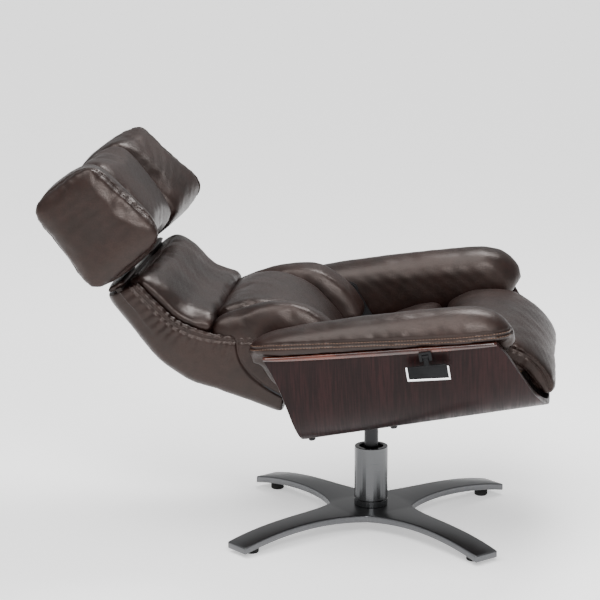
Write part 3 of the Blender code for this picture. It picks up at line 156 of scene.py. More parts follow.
class NodeBook:
    """The nodes of one material."""

    def __init__(self, name: str) -> None:
        """Start a material with one Principled shader.

        Args:
            name: The material's name.
        """
        self.material = bpy.data.materials.new(name)
        self.material.use_nodes = True
        self.tree = self.material.node_tree
        self.shader = self.tree.nodes["Principled BSDF"]

    def add(self, kind: str, settings: dict[str, Any], inputs: dict[Any, Any], output: Any = 0) -> Value:
        """Make a node.

        Args:
            kind: The node's type.
            settings: Its properties, set first.
            inputs: Its sockets' values or links, by name or number.
            output: The output to return, by name or number.

        Returns:
            The output, ready for arithmetic.
        """
        node = self.tree.nodes.new(kind)
        for key, value in settings.items():
            setattr(node, key, value)
        for key, value in inputs.items():
            self._feed(node.inputs[key], value)
        return Value(self, node.outputs[output])

    def _feed(self, socket: bpy.types.NodeSocket, value: Any) -> None:
        """Link a value to a socket, or set the socket.

        Args:
            socket: The socket.
            value: A link, a colour or a number.
        """
        if isinstance(value, Value):
            self.tree.links.new(value.socket, socket)
        elif isinstance(value, tuple) and len(value) == 3 and socket.type == "RGBA":
            socket.default_value = (*value, 1.0)
        else:
            socket.default_value = value

    def place(self, stretch: Point3 = (1.0, 1.0, 1.0)) -> Value:
        """The point's place in the object, stretched along the axes."""
        point = self.add("ShaderNodeTexCoord", {}, {}, "Object")
        return self.add("ShaderNodeVectorMath", {"operation": "MULTIPLY"}, {0: point, 1: stretch})

    def noise(self, scale: float, detail: float = 2.0, stretch: Point3 = (1.0, 1.0, 1.0)) -> Value:
        """Soft noise; scale counts its swells per metre."""
        inputs = {"Vector": self.place(stretch), "Scale": scale, "Detail": detail}
        return self.add("ShaderNodeTexNoise", {}, inputs)

    def cells(self, scale: float) -> Value:
        """A cell pattern; scale counts its cells per metre."""
        inputs = {"Vector": self.place(), "Scale": scale}
        return self.add("ShaderNodeTexVoronoi", {"feature": "F1"}, inputs, "Distance")

    def mix(self, share: Any, low: Any, high: Any) -> Value:
        """A colour a share of the way from low to high."""
        inputs = {0: share, 6: low, 7: high}
        return self.add("ShaderNodeMix", {"data_type": "RGBA"}, inputs, 2)

    def bump(self, height: Value, distance: float, strength: float = 1.0) -> None:
        """Raise the surface by a height of 0 to 1 times the distance."""
        inputs = {"Height": height, "Distance": distance, "Strength": strength}
        self.set(Normal=self.add("ShaderNodeBump", {}, inputs))

    def set(self, **sockets: Any) -> None:
        """Feed the shader's sockets; an underscore stands for a space."""
        for name, value in sockets.items():
            self._feed(self.shader.inputs[name.replace("_", " ")], value)


# ---------------------------------------------------------------- finishes
@dataclass(frozen=True)
class Leather:
    """Pebbled top-grain leather with a satin dressing."""

    name: str = "espresso_leather"
    deep: Colour = (0.0048, 0.0019, 0.0014)
    warm: Colour = (0.0135, 0.0054, 0.0041)
    roughness: float = 0.36
    grain: float = 400.0
    pores: float = 1100.0
    relief: float = 0.00030
    sheen: Colour = (1.0, 0.86, 0.80)

    def build(self) -> bpy.types.Material:
        """Make the material.

        Returns:
            Leather whose colour clouds, whose creases are darker and whose grain catches light.
        """
        book = NodeBook(self.name)
        clouds = book.noise(9.0, 4.0)
        pebbles = book.cells(self.grain)
        pores = book.cells(self.pores)
        creases = book.noise(55.0, 3.0)
        worn = (clouds * 0.6 + creases * 0.4).between(0.35, 0.68)
        tone = book.mix(worn, self.deep, self.warm)
        valley = pebbles.between(0.35, 0.75)
        book.set(Base_Color=book.mix(valley * 0.35, tone, self.deep))
        book.set(Roughness=(clouds - 0.5) * 0.16 + valley * 0.12 + self.roughness)
        height = (1.0 - pebbles) * 0.75 + (1.0 - pores) * 0.15 + creases * 0.6
        book.bump(height, self.relief, 0.55)
        book.set(Specular_IOR_Level=0.36, Specular_Tint=self.sheen)
        book.set(Coat_Weight=0.03, Coat_Roughness=0.32)
        return book.material


@dataclass(frozen=True)
class Thread:
    """Waxed sewing thread with its twist."""

    name: str = "tan_thread"
    colour: Colour = (0.17, 0.085, 0.045)
    roughness: float = 0.55

    def build(self) -> bpy.types.Material:
        """Make the material.

        Returns:
            Thread whose twist shows as light and dark.
        """
        book = NodeBook(self.name)
        twist = book.noise(2600.0, 1.0)
        dark = tuple(0.55 * part for part in self.colour)
        book.set(Base_Color=book.mix(twist, dark, self.colour), Roughness=self.roughness)
        book.bump(twist, 0.0003)
        return book.material


@dataclass(frozen=True)
class Veneer:
    """Dark stained veneer under lacquer, its grain across the bend."""

    name: str = "wenge_veneer"
    dark: Colour = (0.0036, 0.0011, 0.0012)
    light: Colour = (0.0150, 0.0042, 0.0044)
    lines: float = 300.0
    roughness: float = 0.30
    sheen: Colour = (1.0, 0.80, 0.78)

    def build(self) -> bpy.types.Material:
        """Make the material.

        Returns:
            Lacquered wood with fine pores and slow bands that run up the walls.
        """
        book = NodeBook(self.name)
        pores = book.noise(self.lines, 2.0, (1.0, 0.05, 0.05))
        bands = book.noise(26.0, 3.0, (1.0, 0.12, 0.12))
        cathedral = book.noise(6.0, 2.0, (1.0, 0.5, 0.5))
        figure = (pores * 0.55 + bands * 0.45).between(0.38, 0.66)
        tone = book.mix(figure, self.dark, self.light)
        book.set(Base_Color=book.mix(cathedral.between(0.4, 0.8) * 0.35, tone, self.dark))
        book.set(Roughness=(1.0 - figure) * 0.14 + self.roughness)
        book.bump(pores, 0.00012, 0.5)
        book.set(Specular_IOR_Level=0.15, Specular_Tint=self.sheen)
        book.set(Coat_Weight=0.05, Coat_Roughness=0.2)
        return book.material


@dataclass(frozen=True)
class EdgeWood:
    """The lacquered edge of the bent shell, its veneers in thin lines."""

    name: str = "lacquered_edge"
    dark: Colour = (0.018, 0.0040, 0.0028)
    light: Colour = (0.110, 0.024, 0.011)
    roughness: float = 0.16

    def build(self) -> bpy.types.Material:
        """Make the material.

        Returns:
            Glossy wood with streaks along the rim.
        """
        book = NodeBook(self.name)
        streaks = book.noise(60.0, 3.0, (0.15, 1.0, 1.0))
        fibres = book.noise(700.0, 1.0, (0.1, 1.0, 1.0))
        share = (streaks * 0.7 + fibres * 0.3).between(0.35, 0.7)
        book.set(Base_Color=book.mix(share, self.dark, self.light))
        book.set(Roughness=fibres * 0.10 + self.roughness)
        book.set(Coat_Weight=0.8, Coat_Roughness=0.08)
        return book.material


@dataclass(frozen=True)
class Metal:
    """A metal with brush lines, clouds and a little wear."""

    name: str
    colour: Colour
    roughness: float
    metallic: float = 1.0
    lines: float = 900.0
    stretch: Point3 = (1.0, 1.0, 0.04)
    relief: float = 0.00003
    contrast: float = 0.25

    def build(self) -> bpy.types.Material:
        """Make the material.

        Returns:
            Metal whose brush lines vary its colour and gloss.
        """
        book = NodeBook(self.name)
        brush = book.noise(self.lines, 2.0, self.stretch)
        clouds = book.noise(14.0, 3.0)
        dark = tuple((1.0 - self.contrast) * part for part in self.colour)
        share = (brush * 0.6 + clouds * 0.4).between(0.3, 0.7)
        book.set(Base_Color=book.mix(share, dark, self.colour), Metallic=self.metallic)
        book.set(Roughness=(brush - 0.5) * 0.14 + (clouds - 0.5) * 0.10 + self.roughness)
        book.bump(brush, self.relief, 0.6)
        return book.material


@dataclass(frozen=True)
class Moulded:
    """A moulded plastic or rubber with a fine spark texture."""

    name: str
    colour: Colour
    roughness: float
    texture: float = 1400.0
    relief: float = 0.00008

    def build(self) -> bpy.types.Material:
        """Make the material.

        Returns:
            A dull surface with a fine texture.
        """
        book = NodeBook(self.name)
        spark = book.noise(self.texture, 2.0)
        clouds = book.noise(30.0, 2.0)
        pale = tuple(1.7 * part + 0.004 for part in self.colour)
        book.set(Base_Color=book.mix(clouds.between(0.4, 0.7) * 0.6, self.colour, pale))
        book.set(Roughness=(spark - 0.5) * 0.2 + self.roughness)
        book.bump(spark, self.relief, 0.5)
        book.set(Specular_IOR_Level=0.12)
        return book.material


@dataclass(frozen=True)
class Plywood:
    """Birch plywood, with its plies across its thickness."""

    name: str = "birch_plywood"
    pale: Colour = (0.52, 0.38, 0.23)
    brown: Colour = (0.33, 0.21, 0.12)
    roughness: float = 0.62

    def build(self) -> bpy.types.Material:
        """Make the material.

        Returns:
            Pale wood with its plies.
        """
        book = NodeBook(self.name)
        grain = book.noise(120.0, 3.0, (0.08, 1.0, 1.0))
        plies = book.noise(900.0, 0.0, (0.02, 0.02, 1.0))
        share = (grain * 0.6 + plies * 0.4).between(0.35, 0.65)
        book.set(Base_Color=book.mix(share, self.brown, self.pale), Roughness=grain * 0.15 + self.roughness)
        book.bump(grain, 0.0001)
        return book.material


@dataclass(frozen=True)
class Plain:
    """The studio's floor."""

    name: str = "studio_floor"
    colour: Colour = (0.86, 0.86, 0.86)
    roughness: float = 0.9
    glow: float = 0.7

    def build(self) -> bpy.types.Material:
        """Make the material.

        Returns:
            A pale matt surface.
        """
        book = NodeBook(self.name)
        book.set(Base_Color=self.colour, Roughness=self.roughness, Specular_IOR_Level=0.1)
        book.set(Emission_Color=self.colour, Emission_Strength=self.glow)
        return book.material


class Palette:
    """Every finish, made once."""

    def __init__(self) -> None:
        """Build the materials."""
        self.leather = Leather().build()
        self.lining = Leather("black_lining", (0.004, 0.003, 0.003), (0.008, 0.006, 0.005), 0.55).build()
        self.thread = Thread().build()
        self.dark_thread = Thread("brown_thread", (0.034, 0.019, 0.014), 0.7).build()
        self.wenge = Veneer().build()
        self.edge = EdgeWood().build()
        self.gunmetal = Metal("brushed_gunmetal", (0.135, 0.137, 0.142), 0.34, contrast=0.15).build()
        self.column = Metal("turned_gunmetal", (0.105, 0.107, 0.110), 0.24, stretch=(0.03, 0.03, 1.0),
                            relief=0.000006, contrast=0.10).build()
        self.black = Metal("black_steel", (0.028, 0.028, 0.030), 0.42, 0.7, 1100.0, (1.0, 1.0, 1.0),
                           0.00006).build()
        self.zinc = Metal("zinc_plate", (0.50, 0.50, 0.49), 0.34, 1.0, 500.0, (1.0, 0.2, 1.0)).build()
        self.chrome = Metal("polished_chrome", (0.80, 0.80, 0.81), 0.10, 1.0, 300.0, (1.0, 1.0, 1.0),
                            0.00001, 0.06).build()
        self.plastic = Moulded("black_plastic", (0.005, 0.005, 0.0055), 0.45).build()
        self.rubber = Moulded("glide_rubber", (0.014, 0.014, 0.014), 0.80, 900.0, 0.00015).build()
        self.plywood = Plywood().build()
        self.floor = Plain().build()


# ---------------------------------------------------------------- space and curves
class Space:
    """The shell's leaning space, and the heights that the frame fixes in it."""

    def __init__(self) -> None:
        """Take the swivel's place from the frame."""
        joints = {joint["name"]: joint for joint in frame["record"]["behaviour"]["joints"]}
        self.origin = Vector((joints["swivel"]["pos_m"][0], 0.0, SHELL_HEIGHT))
        self.forward = Vector((math.cos(SHELL_LEAN), 0.0, math.sin(SHELL_LEAN)))
        self.up = Vector((-math.sin(SHELL_LEAN), 0.0, math.cos(SHELL_LEAN)))

    def at(self, u: float, y: float, w: float) -> Vector:
        """The world point of a place in the shell's space."""
        return self.origin + self.forward * u + Vector((0.0, y, 0.0)) + self.up * w

    def back(self, points: np.ndarray) -> np.ndarray:
        """World points as (u, y, w) rows.

        Args:
            points: World points.

        Returns:
            Their places in the shell's space.
        """
        moved = points - np.array(self.origin)
        basis = np.array([self.forward, (0.0, 1.0, 0.0), self.up])
        return moved @ basis.T

    @staticmethod
    def rim(u: float) -> float:
        """Height of the shell's rim."""
        share = (u - RIM_REAR[0]) / (RIM_FRONT[0] - RIM_REAR[0])
        return RIM_REAR[1] + (RIM_FRONT[1] - RIM_REAR[1]) * share


SPACE = Space()


def blend(low: float, high: float, share: float) -> float:
    """A number a share of the way from low to high."""
    return low + (high - low) * share


def spline(points: Sequence[Sequence[float]], count: int, closed: bool = False) -> np.ndarray:
    """Even points on a smooth curve through the given ones.

    Args:
        points: The points to pass through, of any dimension.
        count: How many points to return.
        closed: Whether the curve joins its own start.

    Returns:
        Rows of points, spaced evenly along the curve.
    """
    given = np.array(points, float)
    total = len(given)
    spans = total if closed else total - 1
    fine = []
    for i in range(spans):
        if closed:
            a, b, c, d = (given[(i + k - 1) % total] for k in range(4))
        else:
            b, c = given[i], given[i + 1]
            a = given[i - 1] if i else 2.0 * b - c
            d = given[i + 2] if i + 2 < total else 2.0 * c - b
        for t in np.linspace(0.0, 1.0, 12, endpoint=False):
            fine.append(0.5 * (2.0 * b + (c - a) * t + (2.0 * a - 5.0 * b + 4.0 * c - d) * t * t
                               + (3.0 * b - a - 3.0 * c + d) * t ** 3))
    fine.append(given[0] if closed else given[-1])
    fine = np.array(fine)
    reach = np.concatenate([[0.0], np.cumsum(np.linalg.norm(np.diff(fine, axis=0), axis=1))])
    stations = np.linspace(0.0, reach[-1], count, endpoint=not closed)
    return np.stack([np.interp(stations, reach, fine[:, k]) for k in range(fine.shape[1])], axis=1)


def value_at(rows: Sequence[Point2], x: float) -> float:
    """Read a table of (x, value) rows at x, smoothly.

    Args:
        rows: The table, in rising order of x.
        x: Where to read it.

    Returns:
        The value there.
    """
    xs = [row[0] for row in rows]
    x = min(max(x, xs[0]), xs[-1])
    i = min(max(int(np.searchsorted(xs, x)) - 1, 0), len(rows) - 2)
    t = (x - xs[i]) / (xs[i + 1] - xs[i])
    a = rows[max(i - 1, 0)][1]
    b, c = rows[i][1], rows[i + 1][1]
    d = rows[min(i + 2, len(rows) - 1)][1]
    return 0.5 * (2.0 * b + (c - a) * t + (2.0 * a - 5.0 * b + 4.0 * c - d) * t * t
                  + (3.0 * b - a - 3.0 * c + d) * t ** 3)


def placed(name: str, data: bpy.types.ID) -> bpy.types.Object:
    """Put an object with a mesh, a light or a camera into the scene.

    Args:
        name: The object's name.
        data: What it shows.

    Returns:
        The object.
    """
    piece = bpy.data.objects.new(name, data)
    bpy.context.scene.collection.objects.link(piece)
    return piece


def bridge(bm: bmesh.types.BMesh, rings: Sequence[Sequence[bmesh.types.BMVert]]) -> None:
    """Join closed rings of points one to the next, and cap both ends.

    Args:
        bm: The mesh in work.
        rings: Rings of equal length.
    """
    count = len(rings[0])
    for first, second in zip(rings, rings[1:]):
        for i in range(count):
            j = (i + 1) % count
            bm.faces.new((first[i], first[j], second[j], second[i]))
    bm.faces.new(rings[0][::-1])
    bm.faces.new(rings[-1])


def closed_off(name: str, bm: bmesh.types.BMesh) -> bpy.types.Object:
    """Turn a mesh in work into an object whose faces look outward.

    Args:
        name: The object's name.
        bm: The mesh in work, which is freed.

    Returns:
        The object.
    """
    bmesh.ops.recalc_face_normals(bm, faces=bm.faces)
    mesh = bpy.data.meshes.new(name)
    bm.to_mesh(mesh)
    bm.free()
    return placed(name, mesh)


def skin(name: str, loops: Sequence[Sequence[Sequence[float]]]) -> bpy.types.Object:
    """Skin closed (u, y, w) loops and cap both ends.

    Args:
        name: The object's name.
        loops: Loops of equal length, one after the other.

    Returns:
        The object, with its place in its mesh.
    """
    bm = bmesh.new()
    bridge(bm, [[bm.verts.new(SPACE.at(*point)) for point in loop] for loop in loops])
    return closed_off(name, bm)


def apply_modifiers(piece: bpy.types.Object) -> None:
    """Bake an object's modifiers into its mesh.

    Args:
        piece: The object.
    """
    graph = bpy.context.evaluated_depsgraph_get()
    mesh = bpy.data.meshes.new_from_object(piece.evaluated_get(graph))
    piece.modifiers.clear()
    old = piece.data
    piece.data = mesh
    bpy.data.meshes.remove(old)


def modify(piece: bpy.types.Object, kind: str, **settings: Any) -> None:
    """Work one modifier into a mesh.

    Args:
        piece: The object.
        kind: The modifier's type.
        settings: Its properties.
    """
    modifier = piece.modifiers.new(kind.lower(), kind)
    for key, value in settings.items():
        setattr(modifier, key, value)
    apply_modifiers(piece)


def corners(piece: bpy.types.Object) -> np.ndarray:
    """The mesh's points as rows.

    Args:
        piece: The object.

    Returns:
        One row for each point.
    """
    flat = np.empty(len(piece.data.vertices) * 3)
    piece.data.vertices.foreach_get("co", flat)
    return flat.reshape(-1, 3)


def set_corners(piece: bpy.types.Object, points: np.ndarray) -> None:
    """Move the mesh's points."""
    piece.data.vertices.foreach_set("co", points.ravel())
    piece.data.update()


def normals(piece: bpy.types.Object) -> np.ndarray:
    """The outward directions at the mesh's points.

    Args:
        piece: The object.

    Returns:
        One row for each point.
    """
    flat = np.empty(len(piece.data.vertices) * 3)
    piece.data.vertices.foreach_get("normal", flat)
    return flat.reshape(-1, 3)


def finish_piece(piece: bpy.types.Object, body: Body, slot: str, material: bpy.types.Material,
                 *replaced: str) -> bpy.types.Object:
    """Dress a piece and tie it to the frame.

    Args:
        piece: The new piece, in place.
        body: The body that it rides on.
        slot: The record's material slot; not used.
        material: Its finish.
        replaced: The frame's nodes that it stands for.

    Returns:
        The piece.
    """
    piece.data.materials.clear()
    piece.data.materials.append(material)
    if piece.type == "MESH":
        piece.data.shade_smooth()
    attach(piece, body.value)
    if replaced:
        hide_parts(*replaced)
    LOG.info("%s: %d points on %s", piece.name, len(piece.data.vertices), body.value)
    return piece


# ---------------------------------------------------------------- seams and stitches
@dataclass
class Seam:
    """A sewn line on a cushion, through (u, y, w) points."""

    points: Sequence[Sequence[float]]
    depth: float = 0.0035
    width: float = 0.0042
    pucker: float = 0.0
    reach: float = 0.016
    pitch: float = 0.017
    rows: tuple[float, ...] = ()
    pale: bool = False
    closed: bool = False
    aim: Point3 | None = None
    line: np.ndarray = field(init=False)
    STEP: ClassVar[float] = 0.002
    REACH: ClassVar[float] = 0.03

    def __post_init__(self) -> None:
        """Sample the line in world space, a step apart."""
        rough = np.array([SPACE.at(*point) for point in self.points])
        length = float(np.linalg.norm(np.diff(rough, axis=0), axis=1).sum())
        self.line = spline(rough, max(int(length / self.STEP), 8), self.closed)

    def cast(self, tree: BVHTree, spot: Vector) -> tuple[Vector | None, Vector | None]:
        """The surface's point and direction at a spot near it.

        Args:
            tree: The surface.
            spot: The spot.

        Returns:
            The point and its outward direction, or nothing where the surface is out of reach.
        """
        if self.aim is not None:
            way = Vector(self.aim)
            hit, out, _, _ = tree.ray_cast(spot - way * 2.0 * self.REACH, way, 4.0 * self.REACH)
        else:
            hit, out, _, _ = tree.find_nearest(spot, self.REACH)
        return hit, out

    def snap(self, tree: BVHTree) -> None:
        """Lay the line on a surface.

        Args:
            tree: The surface.
        """
        laid = []
        for row in self.line:
            hit, _ = self.cast(tree, Vector(row))
            if hit is not None:
                laid.append(hit)
        if len(laid) < 8:
            return
        rows = np.array(laid)
        for _ in range(6):
            rows[1:-1] = 0.25 * rows[:-2] + 0.5 * rows[1:-1] + 0.25 * rows[2:]
        length = float(np.linalg.norm(np.diff(rows, axis=0), axis=1).sum())
        self.line = spline(rows[::3], max(int(length / self.STEP), 8))

    def press(self, points: np.ndarray, out: np.ndarray) -> np.ndarray:
        """Sink the line into a surface and gather the leather beside it.

        Args:
            points: The surface's points.
            out: Their outward directions.

        Returns:
            The moved points.
        """
        low = self.line.min(axis=0) - 0.08
        high = self.line.max(axis=0) + 0.08
        near = np.where(((points > low) & (points < high)).all(axis=1))[0]
        if not len(near):
            return points
        gap = np.empty(len(near))
        where = np.empty(len(near), int)
        for start in range(0, len(near), 4000):
            part = points[near[start:start + 4000]]
            squares = ((part[:, None, :] - self.line[None, :, :]) ** 2).sum(axis=2)
            where[start:start + 4000] = squares.argmin(axis=1)
            gap[start:start + 4000] = np.sqrt(squares.min(axis=1))
        along = where * self.STEP
        move = -self.depth * np.exp(-(gap / self.width) ** 2)
        if self.pucker:
            wander = np.sin(along * 31.0 + 1.3) * 0.9 + np.sin(along * 83.0) * 0.5
            fold = np.sin(2.0 * math.pi * along / self.pitch + wander + gap * 60.0)
            swell = 0.65 + 0.35 * np.sin(along * 47.0 + 0.6)
            fade = np.exp(-gap / self.reach) * (1.0 - 0.6 * np.exp(-(gap / 0.004) ** 2))
            move = move + self.pucker * fold * swell * fade
        points = points.copy()
        points[near] += out[near] * move[:, None]
        return points


class Stitcher:
    """Sews rows of stitches on a finished surface."""

    LENGTH = 0.0042
    PITCH = 0.0058
    RADIUS = 0.00052
    PROFILE = ((-0.5, 0.35), (-0.3, 1.0), (0.3, 1.0), (0.5, 0.35))

    def __init__(self, piece: bpy.types.Object) -> None:
        """Index the surface.

        Args:
            piece: The finished surface.
        """
        points = [Vector(row) for row in corners(piece)]
        faces = [tuple(face.vertices) for face in piece.data.polygons]
        self.tree = BVHTree.FromPolygons(points, faces)

    def row(self, seam: Seam, aside: float) -> list[tuple[Vector, Vector, Vector]]:
        """Stitches beside a line.

        Args:
            seam: The seam.
            aside: How far to the side of the seam the row runs.

        Returns:
            A middle, a direction and an outward direction for each stitch.
        """
        line = seam.line
        length = float(np.linalg.norm(np.diff(line, axis=0), axis=1).sum())
        count = max(int(length / self.PITCH), 3)
        stations = spline(line[::3], count)
        stitches = []
        for i in range(1, count - 1):
            along = Vector(stations[i + 1] - stations[i - 1]).normalized()
            spot, out = seam.cast(self.tree, Vector(stations[i]))
            if spot is None:
                continue
            facing = out if seam.aim is None else -Vector(seam.aim)
            side = facing.cross(along).normalized()
            spot, out = seam.cast(self.tree, spot + side * aside)
            if spot is None:
                continue
            along = (along - out * along.dot(out)).normalized()
            stitches.append((spot + out * self.RADIUS * 0.35, along, out))
        return stitches

    def sew(self, name: str, seams: Sequence[Seam], pale: bool) -> bpy.types.Object | None:
        """Make the stitches of several seams as one piece.

        Args:
            name: The new piece's name.
            seams: The seams to sew.
            pale: Which of the two threads' seams to sew.

        Returns:
            The piece, or None if no seam has a row.
        """
        bm = bmesh.new()
        for seam in seams:
            if seam.pale != pale:
                continue
            for aside in seam.rows:
                for middle, along, out in self.row(seam, aside):
                    side = along.cross(out)
                    rings = []
                    for reach, size in self.PROFILE:
                        centre = middle + along * reach * self.LENGTH
                        rings.append([bm.verts.new(centre + (out * math.sin(a) + side * math.cos(a))
                                                   * self.RADIUS * size)
                                      for a in (math.pi * k / 3.0 for k in range(6))])
                    bridge(bm, rings)
        if not bm.verts:
            bm.free()
            return None
        return closed_off(name, bm)


# ---------------------------------------------------------------- cushions
@dataclass
class Cushion:
    """A stuffed leather piece: its form, how it fills, and its seams."""

    name: str
    body: Body
    loops: Sequence[Sequence[Sequence[float]]]
    nodes: tuple[str, ...]
    seams: list[Seam] = field(default_factory=list)
    voxel: float = 0.0055
    cap: float = 0.010
    fill: float = 0.8
    held: Callable[[np.ndarray], np.ndarray] | None = None
    fine: int = 1
    remesh: bool = True
    wrinkle: float = 0.0006
    calm: int = 9
    FRAMES: ClassVar[int] = 20
    HOLDS: ClassVar[tuple[float, ...]] = (0.35, 0.7, 1.0)
    COVER: ClassVar[dict[str, Any]] = {
        "quality": 5, "use_pressure": True, "uniform_pressure_force": 4.0, "tension_stiffness": 22.0,
        "compression_stiffness": 18.0, "shear_stiffness": 8.0, "bending_stiffness": 0.6}

    def inflate(self, piece: bpy.types.Object) -> None:
        """Blow the cover up as cloth, and keep each point near where it started.

        Args:
            piece: The closed form.
        """
        start = corners(piece)
        cloth = piece.modifiers.new("fill", "CLOTH")
        settings = cloth.settings
        for key, value in self.COVER.items():
            setattr(settings, key, value)
        settings.effector_weights.gravity = 0.0
        cloth.collision_settings.use_collision = False
        if self.held is not None:
            weights = self.held(SPACE.back(start))
            group = piece.vertex_groups.new(name="held")
            for level in self.HOLDS:
                chosen = [int(i) for i in np.where(weights >= level)[0]]
                group.add(chosen, level, "REPLACE")
            settings.vertex_group_mass = "held"
        scene = bpy.context.scene
        cloth.point_cache.frame_start = 1
        cloth.point_cache.frame_end = self.FRAMES
        for number in range(1, self.FRAMES + 1):
            scene.frame_set(number)
        apply_modifiers(piece)
        scene.frame_set(1)
        moved = corners(piece) - start
        size = np.linalg.norm(moved, axis=1)
        share = self.cap * np.tanh(size / self.cap) / np.maximum(size, 1e-9)
        set_corners(piece, start + moved * share[:, None])
        modify(piece, "SMOOTH", factor=0.5, iterations=self.calm)

    def make(self, palette: Palette) -> bpy.types.Object:
        """Build the cushion with its stitches.

        Args:
            palette: The finishes.

        Returns:
            The finished cushion.
        """
        piece = skin(self.name, self.loops)
        if self.remesh:
            modify(piece, "REMESH", mode="VOXEL", voxel_size=self.voxel)
            modify(piece, "SMOOTH", factor=0.5, iterations=self.calm)
        self.inflate(piece)
        if self.fine:
            modify(piece, "SUBSURF", levels=self.fine, render_levels=self.fine)
        points = corners(piece)
        out = normals(piece)
        tree = Stitcher(piece).tree
        for seam in self.seams:
            seam.snap(tree)
            points = seam.press(points, out)
        points = points + out * self.creasing(points)[:, None]
        set_corners(piece, points)
        finish_piece(piece, self.body, "leather", palette.leather, *self.nodes)
        stitcher = Stitcher(piece)
        threads = ((True, palette.thread, "topstitch"), (False, palette.dark_thread, "stitch"))
        for pale, thread, tag in threads:
            sewn = stitcher.sew("%s_%s" % (self.name, tag), self.seams, pale)
            if sewn:
                finish_piece(sewn, self.body, "leather", thread)
        return piece

    def creasing(self, points: np.ndarray) -> np.ndarray:
        """Shallow folds of worn leather at each point.

        Args:
            points: The surface's points.

        Returns:
            How far outward each point moves.
        """
        x, y, z = points.T
        slow = np.sin(x * 61.0 + 2.0 * np.sin(y * 23.0)) * np.sin(y * 47.0 + 1.7 * np.sin(z * 29.0))
        quick = np.sin(x * 173.0 + y * 91.0 + 3.0 * np.sin(z * 41.0)) * np.sin(z * 139.0 - y * 67.0)
        return self.wrinkle * (slow + 0.35 * quick)


@dataclass
class Assembly:
    """A part of the chair or its studio, built with the shared finishes."""

    palette: Palette


@dataclass
class Arms(Assembly):
    """The two padded arms over the shell's rims."""

    inner: float = 0.2405
    outer: float = 0.3495
    rear: float = -0.180
    front: float = 0.331
    bottom: float = 0.119
    lining: float = 0.3105
    lift: float = 0.0055
    twin: float = 0.0065
    crown: Sequence[Point2] = (
        (-0.180, 0.227), (-0.160, 0.240), (-0.120, 0.249), (0.0, 0.250), (0.10, 0.247), (0.20, 0.242),
        (0.265, 0.236), (0.300, 0.222), (0.318, 0.204), (0.331, 0.186))
    seam_line: Sequence[Point2] = (
        (-0.181, 0.224), (-0.150, 0.227), (-0.100, 0.224), (0.0, 0.213), (0.10, 0.2015), (0.20, 0.191),
        (0.29, 0.184), (0.331, 0.181))
    plan: Sequence[Point2] = ((-0.180, 0.10), (-0.170, 0.50), (-0.150, 0.80), (-0.110, 0.97), (-0.06, 1.0),
                              (0.20, 1.0), (0.26, 0.99), (0.300, 0.86), (0.320, 0.62), (0.331, 0.22))

    def section(self, u: float, side: Side) -> Loop:
        """One closed section across the arm.

        Args:
            u: Where along the arm.
            side: Which arm.

        Returns:
            The section's points.
        """
        top = value_at(self.crown, u)
        rim = SPACE.rim(u)
        under = rim + self.lift
        edge = value_at(self.seam_line, u)
        full = value_at(self.plan, u)
        middle = 0.5 * (self.inner + self.outer)
        lining = self.lining
        low = blend(under - 0.01, self.bottom, min(max((full - 0.5) * 2.2, 0.0), 1.0))
        points = [(self.outer - 0.004, under + 0.001), (self.outer, 0.5 * (under + edge)),
                  (self.outer - 0.001, edge), (self.outer - 0.006, blend(edge, top, 0.45)),
                  (self.outer - 0.020, blend(edge, top, 0.85)), (self.outer - 0.042, top),
                  (self.inner + 0.040, top - 0.001), (self.inner + 0.015, top - 0.012),
                  (self.inner + 0.003, top - 0.035), (self.inner, blend(low, top, 0.35)),
                  (self.inner + 0.006, low + 0.008), (self.inner + 0.020, low),
                  (0.5 * (self.inner + lining) + 0.006, low + 0.001),
                  (lining - 0.012, blend(low, rim, 0.45)),
                  (lining, rim - 0.020), (lining + 0.008, rim - 0.004), (lining + 0.014, under)]
        section = [(middle + (half - middle) * full, w) for half, w in points]
        return [(u, side.value * y, w) for y, w in spline(section, 64, closed=True)]

    def held(self, places: np.ndarray) -> np.ndarray:
        """How firmly each point is held: the parts on the rim and against the wall stay.

        Args:
            places: Rows of u, y and w.

        Returns:
            0 for a point that is free, 1 for one that stays.
        """
        u, _, w = places.T
        rim = RIM_REAR[1] + (RIM_FRONT[1] - RIM_REAR[1]) * (u - RIM_REAR[0]) / (RIM_FRONT[0] - RIM_REAR[0])
        return np.clip((rim + 0.020 - w) / 0.008, 0.0, 1.0)

    def build(self) -> None:
        """Make both arms."""
        for side in Side:
            stations = np.concatenate([np.linspace(self.rear, -0.12, 12), np.linspace(-0.11, 0.27, 30),
                                       np.linspace(0.276, self.front, 14)])
            loops = [self.section(float(u), side) for u in stations]
            s = side.value
            edge = [(u, s * (self.outer - 0.001 if -0.16 < u < 0.30 else self.outer - 0.012), w)
                    for u, w in self.seam_line]
            outer = Seam(edge, depth=0.0034, width=0.0024, pucker=0.0004, reach=0.014, pitch=0.021,
                         rows=(0.0036, -0.0036), pale=True, aim=side.inward)
            second = Seam([(u, y, w + self.twin) for u, y, w in edge], depth=0.0018, width=0.0018,
                          aim=side.inward)
            Cushion("arm_%s" % side.word, Body.SHELL, loops, ("arm_pad_%s" % side.word,), [outer, second],
                    cap=0.006, fill=0.85, held=self.held).make(self.palette)


def bezier(a: float, b: float, c: float, d: float, t: float) -> float:
    """A point on a cubic curve."""
    s = 1.0 - t
    return s * s * s * a + 3.0 * s * s * t * b + 3.0 * s * t * t * c + t * t * t * d


